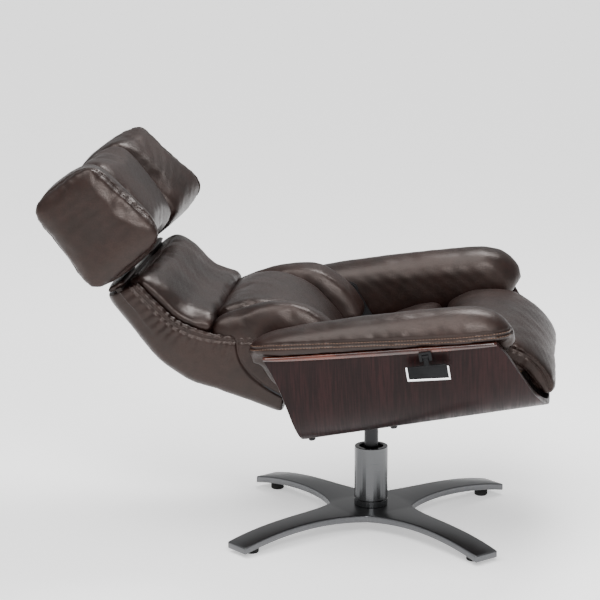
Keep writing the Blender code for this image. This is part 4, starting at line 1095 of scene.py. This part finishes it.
@dataclass
class Base(Assembly):
    """The four-armed star under the column."""

    radius: float = 0.351
    notch: float = 0.060
    tip_half: float = 0.029
    thickness: float = 0.0145
    hub_top: float = 0.040
    arch: float = 0.020
    drop: float = 0.0170
    rounding: float = 0.0028
    crease: float = math.radians(40.0)

    def rows(self) -> Loop:
        """Distance from the axis, half width and top height along an arm.

        Returns:
            The rows from the hub to the tip.
        """
        made = []
        for share in np.linspace(0.0, 1.0, 15):
            flare = (self.notch - self.tip_half) * (1.0 - share) ** 5
            top = self.hub_top + self.arch * share * (1.0 - share) - self.drop * share ** 3
            made.append((blend(self.notch, self.radius, share), self.tip_half + flare, top))
        return made

    def build(self) -> None:
        """Make the star as one casting."""
        bm = bmesh.new()
        rows = self.rows()
        centre = Vector((SPACE.origin.x, 0.0, 0.0))
        levels = []
        for sink in (0.0, self.thickness):
            edges = []
            for quarter in range(4):
                turn = math.radians(45.0 + 90.0 * quarter)
                along = Vector((math.cos(turn), math.sin(turn), 0.0))
                across = Vector((-math.sin(turn), math.cos(turn), 0.0))
                right = []
                left = []
                for reach, half, top in rows[1:]:
                    spot = centre + along * reach + Vector((0.0, 0.0, top - sink))
                    right.append(bm.verts.new(spot - across * half))
                    left.append(bm.verts.new(spot + across * half))
                edges.append((right, left))
            hub = []
            for quarter in range(4):
                turn = math.radians(90.0 * quarter)
                out = Vector((math.cos(turn), math.sin(turn), 0.0)) * self.notch * math.sqrt(2.0)
                hub.append(bm.verts.new(centre + out + Vector((0.0, 0.0, self.hub_top - sink))))
            bm.faces.new(hub)
            for quarter, (right, left) in enumerate(edges):
                right.insert(0, hub[quarter])
                left.insert(0, hub[(quarter + 1) % 4])
                for i in range(len(right) - 1):
                    bm.faces.new((right[i], right[i + 1], left[i + 1], left[i]))
            levels.append(edges)
        for upper, lower in zip(*levels):
            for top_edge, low_edge in zip(upper, lower):
                for i in range(len(top_edge) - 1):
                    bm.faces.new((top_edge[i], top_edge[i + 1], low_edge[i + 1], low_edge[i]))
            bm.faces.new((upper[0][-1], upper[1][-1], lower[1][-1], lower[0][-1]))
        piece = closed_off("cast_star", bm)
        modify(piece, "BEVEL", width=self.rounding, segments=3, angle_limit=self.crease)
        finish_piece(piece, Body.BASE, "gunmetal", self.palette.gunmetal, "base_star")


@dataclass
class Shell(Assembly):
    """The bent wood shell with its lacquered rim."""

    floor_half: float = 0.175
    rim_half: float = 0.337
    thickness: float = 0.0118
    bead: float = 0.0036
    bead_low: float = 0.0065
    bead_high: float = 0.0048
    edge_round: float = 0.0018
    rounding: float = 0.0012
    crease: float = math.radians(50.0)

    def wall(self, q: float) -> Point2:
        """Half width and share of height, from the floor's edge (0) to the rim (1)."""
        half = bezier(self.floor_half, self.floor_half + 0.088, self.rim_half - 0.038, self.rim_half, q)
        return half, bezier(0.0, 0.0, 0.40, 1.0, q)

    @staticmethod
    def reach(height: float) -> Point2:
        """The rear and front ends of the wall at a share of its height."""
        return (bezier(-0.120, -0.129, -0.124, -0.150, height), bezier(0.370, 0.335, 0.330, 0.297, height))

    def section(self, share: float) -> Loop:
        """One closed section across the shell, outside and inside.

        Args:
            share: Where from the rear (0) to the front (1).

        Returns:
            The section's points.
        """
        path = [(y, 0.0) for y in np.linspace(-self.floor_half, self.floor_half, 25)[1:-1]]
        rise = [self.wall(q) for q in np.linspace(0.0, 1.0, 45)]
        path = [(-half, h) for half, h in reversed(rise)] + path + rise
        tall = blend(RIM_REAR[1], RIM_FRONT[1], share)
        outer = np.array([(y, h * tall) for y, h in path])
        tangent = np.gradient(outer, axis=0)
        tangent /= np.linalg.norm(tangent, axis=1)[:, None]
        inward = np.stack([-tangent[:, 1], tangent[:, 0]], axis=1)
        edge = np.zeros(len(outer))
        edge[[0, -1]] = 1.0
        outside = outer + inward * self.edge_round * edge[:, None]
        inside = outer + inward * (self.thickness - self.edge_round * edge)[:, None]
        places = []
        for (y, w), (_, h) in list(zip(outside, path)) + list(zip(inside, path))[::-1]:
            rear, front = self.reach(h)
            places.append((blend(rear, front, share), y, w))
        return places

    def build(self) -> None:
        """Make the shell and the bead along each rim."""
        shares = [0.0, 0.0025] + list(np.linspace(0.01, 0.99, 58)) + [0.9975, 1.0]
        piece = skin("bent_shell", [self.section(float(share)) for share in shares])
        modify(piece, "BEVEL", width=self.rounding, segments=2, angle_limit=self.crease)
        finish_piece(piece, Body.SHELL, "wenge", self.palette.wenge, "shell")
        for side in Side:
            loops = []
            rear, front = self.reach(1.0)
            for u in np.linspace(rear + 0.001, front - 0.001, 70):
                share = (u - rear) / (front - rear)
                size = math.sin(math.pi * min(max(share, 0.02), 0.98)) ** 0.25
                rim = SPACE.rim(float(u))
                out = self.rim_half + self.bead * size
                low = rim - self.bead_low * size
                high = rim + self.bead_high
                outline = [(self.rim_half - 0.004, low + 0.002), (out - 0.0008, low + 0.0004),
                           (out, blend(low, high, 0.4)),
                           (out - 0.001, high - 0.0016), (out - 0.004, high), (self.rim_half - 0.010, high)]
                loops.append([(float(u), side.value * y, w) for y, w in spline(outline, 20, closed=True)])
            bead = skin("rim_bead_%s" % side.word, loops)
            finish_piece(bead, Body.SHELL, "wenge", self.palette.edge)


@dataclass
class Seat(Assembly):
    """The two seat cushions."""

    half: float = 0.2285
    bottom: float = 0.0805
    rear_outline: Sequence[Point2] = (
        (-0.024, 0.082), (-0.025, 0.098), (-0.014, 0.117), (0.020, 0.131), (0.070, 0.144), (0.120, 0.153),
        (0.150, 0.154), (0.1648, 0.145), (0.1645, 0.105), (0.1645, 0.082),
        (0.10, 0.0805), (0.03, 0.0805))
    front_outline: Sequence[Point2] = (
        (0.167, 0.082), (0.167, 0.110), (0.1675, 0.142), (0.176, 0.153), (0.215, 0.163), (0.262, 0.165),
        (0.303, 0.154), (0.336, 0.132), (0.362, 0.102), (0.381, 0.068), (0.389, 0.043), (0.386, 0.024),
        (0.373, 0.016), (0.357, 0.026), (0.344, 0.052),
        (0.333, 0.079), (0.28, 0.0805), (0.22, 0.0805))

    def loops(self, outline: Sequence[Point2]) -> list[Loop]:
        """Loft an outline across the seat, drawn in towards the sides.

        Args:
            outline: The cushion's section fore and aft.

        Returns:
            Its loops from right to left.
        """
        base = spline(outline, 72, closed=True)
        centre = base.mean(axis=0)
        made = []
        for share in np.sin(np.linspace(-0.5 * math.pi, 0.5 * math.pi, 31)):
            edge = abs(share) ** 7
            sag = 0.07 * abs(share) ** 2.5
            loop = []
            for u, w in base:
                pull = 0.08 * edge
                crown = (w > centre[1]) * sag * 0.10
                loop.append((u + (centre[0] - u) * pull * 0.55, share * self.half,
                             max(w + (centre[1] - w) * (pull + crown), min(w, self.bottom))))
            made.append(loop)
        return made

    def held(self, places: np.ndarray) -> np.ndarray:
        """How firmly each (u, y, w) row is held: the underside stays on the pan."""
        u, _, w = places.T
        return np.clip((self.bottom + 0.008 - w) / 0.004, 0.0, 1.0) * (u < 0.335)

    def build(self) -> None:
        """Make both cushions."""
        half = self.half
        sides = (Side.RIGHT, Side.LEFT)
        rear_seams = []
        for side in sides:
            s = side.value
            line = [(-0.01, s * (half - 0.003), 0.108), (0.05, s * (half - 0.001), 0.120),
                    (0.155, s * (half - 0.002), 0.128)]
            rear_seams.append(Seam(line, depth=0.003, pucker=0.0006, rows=(0.004,), aim=side.inward))
        Cushion("seat_rear", Body.SEAT, self.loops(self.rear_outline), ("seat_rear_cushion",), rear_seams,
                cap=0.009, fill=0.75, held=self.held, voxel=0.006).make(self.palette)
        seams = []
        for side in sides:
            s = side.value
            crest = [(0.175, s * (half - 0.002), 0.130), (0.24, s * (half - 0.002), 0.141),
                     (0.300, s * (half - 0.003), 0.135), (0.345, s * (half - 0.004), 0.108),
                     (0.371, s * (half - 0.006), 0.070), (0.378, s * (half - 0.008), 0.036)]
            welt = [(0.285, s * (half - 0.001), 0.112), (0.322, s * (half - 0.001), 0.094),
                    (0.346, s * (half - 0.002), 0.060), (0.360, s * (half - 0.004), 0.034)]
            for line, depth in ((crest, 0.0036), (welt, 0.0030)):
                seams.append(Seam(line, depth=depth, width=0.003, pucker=0.0006, rows=(0.004, -0.004),
                                  aim=side.inward))
        apron = Seam([(0.3865, -half + 0.02, 0.050), (0.389, -0.1, 0.050), (0.389, 0.1, 0.050),
                      (0.3865, half - 0.02, 0.050)], depth=0.0016, width=0.004)
        Cushion("seat_front", Body.SEAT, self.loops(self.front_outline), ("seat_front_cushion",),
                seams + [apron], cap=0.009, fill=0.8, held=self.held, voxel=0.006).make(self.palette)


@dataclass
class Back(Assembly):
    """Cover, upper and lumbar cushions and wings of the reclining back."""

    rear: Sequence[Point2] = ((-0.458, 0.359), (-0.421, 0.290), (-0.376, 0.212), (-0.320, 0.155),
                              (-0.262, 0.117), (-0.200, 0.083), (-0.150, 0.055))
    side: Sequence[Point2] = ((-0.385, 0.378), (-0.352, 0.333), (-0.316, 0.287), (-0.262, 0.253),
                              (-0.207, 0.236), (-0.148, 0.224), (-0.100, 0.180))
    front: Sequence[Point2] = ((-0.372, 0.388), (-0.336, 0.352), (-0.300, 0.304), (-0.246, 0.279),
                               (-0.192, 0.271), (-0.132, 0.252), (-0.078, 0.206))
    seam_in: float = 0.013
    board_front: float = 0.046
    upper_levels: int = 32
    wall: float = 0.015
    wing_seam: Point2 = (0.1595, 0.1355)
    wing_edge: Point2 = (0.2235, 0.2195)
    wing_dip: float = 0.006
    halves: Sequence[float] = (0.2475, 0.2490, 0.2490, 0.2430, 0.2335, 0.2290, 0.2280)
    lumbar_front: Sequence[Point2] = ((-0.247, 0.283), (-0.192, 0.287), (-0.132, 0.273), (-0.078, 0.228),
                                      (-0.040, 0.166), (-0.034, 0.124))
    lumbar_rear: Sequence[Point2] = ((-0.292, 0.195), (-0.240, 0.158), (-0.180, 0.128), (-0.130, 0.100),
                                     (-0.102, 0.092), (-0.076, 0.092))
    wing_top: Sequence[Point2] = (
        (-0.247, 0.275), (-0.200, 0.281), (-0.150, 0.286), (-0.105, 0.283), (-0.065, 0.267),
        (-0.024, 0.227), (0.000, 0.180), (0.004, 0.160))
    wing_root: Sequence[Point2] = (
        (-0.290, 0.195), (-0.240, 0.160), (-0.195, 0.138), (-0.155, 0.122), (-0.120, 0.112),
        (-0.088, 0.112), (-0.066, 0.120), (-0.050, 0.126))

    lid_section: Sequence[Point2] = (
        (0.021, -0.002), (0.016, 0.0050), (0.0, 0.0070), (-0.016, 0.0050), (-0.021, -0.002),
        (-0.016, -0.006), (0.0, -0.007), (0.016, -0.006))

    def levels(self, count: int) -> tuple[np.ndarray, np.ndarray, np.ndarray, np.ndarray]:
        """Matched points down the back.

        Args:
            count: How many levels.

        Returns:
            Rear, side-seam and front points, and half widths.
        """
        stations = np.linspace(0.0, len(self.rear) - 1.0, count)

        def read(rows: Sequence[Any]) -> np.ndarray:
            """Read a list of numbers or points at the stations.

            Args:
                rows: Numbers or points, one for each row of the back.

            Returns:
                One row for each station.
            """
            table = np.array(rows, float)
            if table.ndim == 1:
                table = table[:, None]
            columns = [[value_at([(i, v) for i, v in enumerate(table[:, k])], s) for s in stations]
                       for k in range(table.shape[1])]
            return np.array(columns).T

        return read(self.rear), read(self.side), read(self.front), read(self.halves)[:, 0]

    def cover(self) -> list[Loop]:
        """The cover that wraps the back and its sides.

        Returns:
            Loops of its C-shaped section, from the top down.
        """
        rears, sides, _, halves = self.levels(44)
        wall = self.wall
        loops = []
        last = len(rears) - 1
        for number, (rear, side, half) in enumerate(zip(rears, sides, halves)):
            closing = max(1.0 - number / 2.5, 0.0, 1.0 - (last - number) / 2.0)
            across = (side - rear) / np.linalg.norm(side - rear)
            depth = float(np.linalg.norm(side - rear))
            near = 0.006 * closing ** 2
            pad = 0.030 - 0.004 * closing
            half = half - 0.006 * closing ** 2
            flat = [(depth + 0.003, half - 0.007), (depth - 0.002, half - 0.001), (0.80 * depth, half),
                    (0.45 * depth, half + 0.0005), (0.040, half - 0.001), (0.015 + near, half - 0.009),
                    (near + 0.003, half - 0.030), (near - 0.0005, half - 0.075), (near - 0.002, 0.10)]
            inner = [(pad, half - 0.060), (pad + 0.002, half - wall - 0.008), (pad + 0.012, half - wall),
                     (0.6 * depth, half - wall), (depth, half - wall)]
            outline = flat + [(a, -b) for a, b in reversed(flat)]
            outline += [(a, -b) for a, b in reversed(inner)] + [(pad, 0.0)] + inner
            loop = []
            for a, b in spline(outline, 150, closed=True):
                loop.append((rear[0] + across[0] * a, b, rear[1] + across[1] * a))
            loops.append(loop)
        return loops

    def upper(self) -> list[Loop]:
        """The upper cushion, from the top down to the cross seam.

        Returns:
            Its loops.
        """
        rears, sides, fronts, halves = self.levels(61)
        last = self.upper_levels - 1
        loops = []
        for number in range(self.upper_levels):
            rear, side, front, half = rears[number], sides[number], fronts[number], halves[number]
            end = max(1.0 - number / 4.0, 0.0)
            foot = max(1.0 - (last - number) / 3.0, 0.0)
            shrink = 0.24 * end ** 2 + 0.05 * foot ** 2
            across = (front - rear) / np.linalg.norm(front - rear)
            deep = float(np.linalg.norm(front - rear))
            seam = float(np.dot(side - rear, across))
            low = self.board_front
            points = [(low, 0.0), (low, half - 0.060), (low + 0.006, half - 0.020),
                      (seam - 0.006, half - 0.0165),
                      (seam + 0.003, half - 0.006), (blend(seam, deep, 0.45), half - 0.005),
                      (blend(seam, deep, 0.85), half - 0.024), (deep - 0.001, half - 0.068),
                      (deep + 0.003, half * 0.4)]
            outline = points + [(a, -b) for a, b in reversed(points[1:])]
            outline.insert(len(points), (deep + 0.003, 0.0))
            middle = 0.5 * (low + deep)
            loop = []
            for a, b in spline(outline, 96, closed=True):
                a = middle + (a - middle) * (1.0 - shrink)
                b = b * (1.0 - 0.05 * end ** 2 - 0.01 * foot ** 2)
                loop.append((rear[0] + across[0] * a, b, rear[1] + across[1] * a))
            loops.append(loop)
        return loops

    @staticmethod
    def banded(roots: Sequence[Point2], tops: Sequence[Point2], low: Sequence[float], high: Sequence[float],
               lean: float, count: int) -> list[Loop]:
        """A puffed band from roots to tops.

        Args:
            roots: Points along the hidden side.
            tops: Points along the visible side.
            low: The band's lower y at its start and its end.
            high: The band's upper y at its start and its end.
            lean: How much lower the seam edge stands than the outer one; its sign says which is which.
            count: How many levels.

        Returns:
            Its loops.
        """
        root_line = spline(roots, count)
        top_line = spline(tops, count)
        loops = []
        for number in range(count):
            share = number / (count - 1.0)
            end = max(1.0 - number / 2.0, 0.0, 1.0 - (count - 1 - number) / 2.0)
            root, top = root_line[number], top_line[number]
            deep = float(np.linalg.norm(top - root))
            across = (top - root) / deep
            y_low = blend(low[0], low[1], share)
            y_high = blend(high[0], high[1], share)
            width = y_high - y_low
            drop_low = max(lean, 0.0)
            drop_high = max(-lean, 0.0)
            soft_low = 0.014 if lean < 0.0 else 0.0065
            soft_high = 0.014 if lean > 0.0 else 0.0065
            points = [(0.0, y_low + 0.15 * width), (0.03 * deep, y_low + 0.02 * width),
                      (0.30 * deep, y_low), (0.62 * deep - 0.6 * drop_low, y_low),
                      (deep - soft_low - drop_low, y_low + 0.1 * soft_low),
                      (deep - 0.2 * soft_low - drop_low, y_low + 0.9 * soft_low),
                      (deep - 0.45 * (drop_low + drop_high), y_low + 0.5 * width),
                      (deep - 0.2 * soft_high - drop_high, y_high - 0.9 * soft_high),
                      (deep - soft_high - drop_high, y_high - 0.1 * soft_high),
                      (0.62 * deep - 0.6 * drop_high, y_high), (0.30 * deep, y_high),
                      (0.03 * deep, y_high - 0.02 * width), (0.0, y_high - 0.15 * width)]
            middle = 0.5 * deep
            centre = 0.5 * (y_low + y_high)
            loop = []
            for a, b in spline(points, 72, closed=True):
                a = middle + (a - middle) * (1.0 - 0.07 * end ** 2)
                b = centre + (b - centre) * (1.0 - 0.03 * end ** 2)
                loop.append((root[0] + across[0] * a, b, root[1] + across[1] * a))
            loops.append(loop)
        return loops

    def lid(self, side: Side) -> None:
        """Close the cover's top over the board, beside the headrest's hinge.

        Args:
            side: Which end of the top.
        """
        top = Vector(self.rear[0])
        across = (Vector(self.front[0]) - top).normalized()
        out = (top - Vector(self.rear[1])).normalized()
        middle = top + across * 0.034 + out * 0.0005
        loops = []
        for share in np.linspace(0.0, 1.0, 24):
            y = blend(0.096, self.halves[0] - 0.012, float(share))
            size = math.sin(math.pi * min(max(share, 0.04), 0.96)) ** 0.15
            loop = []
            for a, b in spline(self.lid_section, 28, closed=True):
                place = middle + across * a * (0.3 + 0.7 * size) + out * (b * size - 0.003 * (1.0 - size))
                loop.append((place.x, side.value * y, place.y))
            loops.append(loop)
        piece = skin("back_top_%s" % side.word, loops)
        finish_piece(piece, Body.BACK, "leather", self.palette.leather)

    def build(self) -> None:
        """Make the back's pieces."""
        rears, sides, _, halves = self.levels(7)
        seams = []
        for side in (Side.RIGHT, Side.LEFT):
            s = side.value
            edge = []
            for rear, crest, half in zip(rears[:5], sides[:5], halves[:5]):
                inset = (rear - crest) / np.linalg.norm(rear - crest) * self.seam_in
                edge.append((crest[0] + inset[0], s * half, crest[1] + inset[1]))
            seams.append(Seam(edge, depth=0.0035, width=0.004, pucker=0.0018, reach=0.024, pitch=0.017,
                              rows=(0.0045, -0.0045), aim=side.inward))
            lower = [(u + 0.002, s * (half + 0.001), w - self.seam_in)
                     for (u, w), half in zip(sides[4:], halves[4:])]
            seams.append(Seam(lower, depth=0.003, width=0.003, pucker=0.0008, rows=(0.004, -0.004),
                              aim=side.inward))
            gusset = [(-0.210, s * 0.235, 0.232), (-0.212, s * 0.236, 0.195), (-0.200, s * 0.235, 0.160),
                      (-0.172, s * 0.233, 0.125), (-0.138, s * 0.230, 0.098), (-0.118, s * 0.228, 0.085)]
            seams.append(Seam(gusset, depth=0.0040, width=0.0030, aim=side.inward))
            rear_seam = [(u, s * 0.165, w) for u, w in rears]
            seams.append(Seam(rear_seam, depth=0.0025, width=0.004, rows=(0.0045, -0.0045)))
        Cushion("back_cover", Body.BACK, self.cover(), ("back_rear_cover",), seams, cap=0.004, fill=0.9,
                remesh=False, fine=2, calm=2).make(self.palette)
        top_seam = Seam([(-0.378, -0.20, 0.382), (-0.373, 0.0, 0.384), (-0.378, 0.20, 0.382)],
                        depth=0.0015, rows=(0.004,))
        Cushion("back_upper", Body.BACK, self.upper(), ("back_upper_cushion",), [top_seam], cap=0.007,
                fill=0.85, voxel=0.006).make(self.palette)
        lumbar = self.banded(self.lumbar_rear, self.lumbar_front, (-0.158, -0.134), (0.158, 0.134), 0.0, 44)
        Cushion("back_lumbar", Body.BACK, lumbar, ("back_lumbar_cushion",), [], cap=0.006,
                fill=0.85).make(self.palette)
        for side in Side:
            if side is Side.LEFT:
                loops = self.banded(self.wing_root, self.wing_top, self.wing_seam, self.wing_edge,
                                    self.wing_dip, 44)
            else:
                low = tuple(-y for y in self.wing_edge)
                high = tuple(-y for y in self.wing_seam)
                loops = self.banded(self.wing_root, self.wing_top, low, high, -self.wing_dip, 44)
            self.lid(side)
            Cushion("back_wing_%s_pad" % side.word, Body.BACK, loops, ("back_wing_%s" % side.word,), [],
                    cap=0.005, fill=0.85).make(self.palette)


@dataclass
class Headrest(Assembly):
    """Wing, middle and rear cushions of the tilting headrest."""

    lean: float = math.radians(27.2)
    corner: Point2 = (-0.4605, 0.3735)
    height: float = 0.207
    half: float = 0.289
    wing_inner: float = 0.131
    middle_depth: float = 0.132
    deep_low: float = 0.182
    deep_high: float = 0.158

    @property
    def heart(self) -> Point2:
        """The middle of the end panel, as depth and height."""
        return (0.085, 0.5 * self.height)

    def at(self, depth: float, y: float, height: float) -> Point3:
        """A place counted forward and up from the lower rear corner.

        Args:
            depth: How far forward.
            y: How far to the left.
            height: How far up.

        Returns:
            The place in the shell's space.
        """
        c = math.cos(self.lean)
        s = math.sin(self.lean)
        return (self.corner[0] + depth * c - height * s, y, self.corner[1] + depth * s + height * c)

    def end_outline(self) -> list[Point2]:
        """The end panel's outline as (depth, height): a quadrilateral with round corners.

        Returns:
            The outline's points.
        """
        low, high, tall = self.deep_low, self.deep_high, self.height
        return [(-0.003, 0.028), (0.003, 0.004), (0.026, -0.003), (low * 0.5, -0.004), (low - 0.034, 0.000),
                (low - 0.008, 0.009), (low, 0.036), (blend(low, high, 0.5) + 0.003, 0.5 * tall),
                (high + 0.001, tall - 0.036), (high - 0.008, tall - 0.008), (high - 0.034, tall),
                (0.5 * high, tall + 0.002), (0.032, tall), (0.007, tall - 0.008), (-0.001, tall - 0.034),
                (-0.003, 0.5 * tall)]

    def wing(self, side: Side) -> list[Loop]:
        """A wing from the middle's edge to the domed end panel.

        Args:
            side: Which wing.

        Returns:
            Its loops from the middle outward.
        """
        base = spline(self.end_outline(), 88, closed=True)
        centre = self.heart
        loops = []
        for share in np.linspace(0.0, 1.0, 34):
            y = blend(self.wing_inner, self.half, 1.0 - (1.0 - share) ** 1.35)
            hollow = (1.0 - share) ** 1.6
            dome = max((share - 0.84) / 0.16, 0.0)
            inner_end = max(1.0 - share / 0.07, 0.0)
            pull = 0.09 * dome ** 4 + 0.05 * inner_end ** 2
            loop = []
            for depth, height in base:
                front = max(depth - 0.08, 0.0) / 0.1
                depth = depth - hollow * front * 0.043
                depth += (centre[0] - depth) * pull
                height += (centre[1] - height) * pull
                loop.append(self.at(depth, side.value * y, height))
            loops.append(loop)
        return loops

    def pad(self, near: float, far: float, half: float) -> list[Loop]:
        """A middle pad between two depths.

        Args:
            near: The depth of its rear.
            far: The depth of its front.
            half: Half its width.

        Returns:
            Its loops from right to left.
        """
        tall = self.height
        r = 0.4 * (far - near)
        outline = [(near, r * 0.8), (near + 0.3 * r, 0.25 * r), (near + r, 0.001), (far - r, 0.001),
                   (far - 0.3 * r, 0.25 * r), (far, r * 0.9), (far + 0.003, 0.5 * tall),
                   (far, tall - 0.9 * r), (far - 0.3 * r, tall - 0.25 * r), (far - r, tall),
                   (near + r, tall),
                   (near + 0.3 * r, tall - 0.25 * r), (near, tall - 0.8 * r), (near - 0.001, 0.5 * tall)]
        base = spline(outline, 80, closed=True)
        centre = base.mean(axis=0)
        loops = []
        for share in np.linspace(-1.0, 1.0, 35):
            pull = 0.10 * abs(share) ** 10
            loops.append([self.at(blend(depth, centre[0], pull), share * half,
                                  blend(height, centre[1], pull)) for depth, height in base])
        return loops

    def build(self) -> None:
        """Make the headrest's four pieces."""
        outline = spline(self.end_outline(), 24, closed=True)
        centre = self.heart
        for side in Side:
            s = side.value
            welt = []
            for depth, height in outline:
                depth += (centre[0] - depth) * 0.012
                height += (centre[1] - height) * 0.012
                welt.append(self.at(depth, s * (self.half - 0.020), height))
            seam = Seam(welt, depth=0.0028, width=0.0034, pucker=0.0009, reach=0.012, pitch=0.018,
                        rows=(0.0045, -0.0045), closed=True)
            Cushion("headrest_wing_%s_pad" % side.word, Body.HEADREST, self.wing(side),
                    ("headrest_wing_%s" % side.word,), [seam], cap=0.006, fill=0.85).make(self.palette)
        half = self.wing_inner - 0.001
        Cushion("headrest_face", Body.HEADREST, self.pad(0.046, self.middle_depth, half),
                ("headrest_middle_cushion",), [], cap=0.007, fill=0.8).make(self.palette)
        Cushion("headrest_rear", Body.HEADREST, self.pad(0.001, 0.030, half),
                ("headrest_rear_cushion",), [], cap=0.004, fill=0.8).make(self.palette)


class Frame(Assembly):
    """The frame's own nodes, each with its finish."""

    def build(self) -> None:
        """Dress every node that shows."""
        groups = (
            (self.palette.gunmetal, ("base_star",)),
            (self.palette.column, ("column_collar", "column_tube")),
            (self.palette.rubber, ("foot_glide",)),
            (self.palette.plastic, ("lower_bush", "upper_bush", "lever")),
            (self.palette.black, ("spindle", "mount", "hinge_bracket", "back_side_plate",
                                  "back_cross_tube", "spring_crank", "spring_bracket", "gas_cylinder")),
            (self.palette.zinc, ("base_bolt", "spindle_circlip", "pivot_pin", "headrest_hinge",
                                 "seat_rail", "seat_runner", "lever_pin")),
            (self.palette.chrome, ("gas_rod", "lever_trim")),
            (self.palette.lining, ("back_board", "headrest_board")),
            (self.palette.plywood, ("seat_pan",)),
            (self.palette.wenge, ("shell",)),
        )
        finishes = {name: finish for finish, names in groups for name in names}
        for name, node in frame["nodes"].items():
            match = max((key for key in finishes if name.startswith(key)), key=len, default=None)
            if match is None:
                continue
            for slot in node.material_slots:
                slot.material = finishes[match]
            LOG.info("%s: %s", name, finishes[match].name)


@dataclass
class Studio(Assembly):
    """Camera, lights and floor."""

    camera_place: Point3 = (0.4979, -4.757, 1.525)
    pitch: float = math.radians(77.553)
    turn: float = math.radians(6.164)
    lens: float = 144.0
    aim: Point3 = (0.0, 0.0, 0.45)
    sky_strength: float = 0.50
    sun_strength: float = 3.4
    sun_width: float = math.radians(50.0)
    sun_turn: Point3 = (math.radians(24.0), math.radians(-16.0), 0.0)
    lamps: Sequence[tuple[str, Point3, float, float]] = (
        ("key", (0.8, -3.2, 2.4), 1.0, 105.0), ("top", (0.5, 0.9, 2.6), 1.0, 60.0))
    floor_reach: float = 40.0

    def area(self, name: str, place: Point3, size: float, power: float) -> None:
        """Hang a square soft light.

        Args:
            name: Its name.
            place: Where it hangs.
            size: Its side.
            power: Its watts.
        """
        data = bpy.data.lights.new(name, "AREA")
        data.energy = power
        data.size = size
        lamp = placed(name, data)
        lamp.location = place
        lamp.rotation_euler = (Vector(self.aim) - Vector(place)).to_track_quat("-Z", "Y").to_euler()

    def build(self) -> None:
        """Set up the studio."""
        data = bpy.data.cameras.new("camera")
        data.lens = self.lens
        data.sensor_width = 36.0
        camera = placed("camera", data)
        camera.location = self.camera_place
        camera.rotation_euler = (self.pitch, 0.0, self.turn)
        bpy.context.scene.camera = camera
        world = bpy.data.worlds.new("studio")
        world.use_nodes = True
        sky = world.node_tree.nodes["Background"]
        sky.inputs["Color"].default_value = (1.0, 1.0, 1.0, 1.0)
        sky.inputs["Strength"].default_value = self.sky_strength
        bpy.context.scene.world = world
        sun = bpy.data.lights.new("window", "SUN")
        sun.energy = self.sun_strength
        sun.angle = self.sun_width
        placed("window", sun).rotation_euler = self.sun_turn
        for name, place, size, power in self.lamps:
            self.area(name, place, size, power)
        mesh = bpy.data.meshes.new("floor")
        reach = self.floor_reach
        edges = [(-reach, -reach, 0.0), (reach, -reach, 0.0), (reach, reach, 0.0), (-reach, reach, 0.0)]
        mesh.from_pydata(edges, [], [(0, 1, 2, 3)])
        mesh.materials.append(self.palette.floor)
        placed("floor", mesh)


def main() -> None:
    """Build everything in order."""
    logging.basicConfig(level=logging.INFO, format="%(message)s")
    palette = Palette()
    for kind in (Frame, Base, Shell, Arms, Seat, Back, Headrest, Studio):
        kind(palette).build()
        LOG.info("%s done", kind.__name__)


if __name__ == "__main__":
    main()
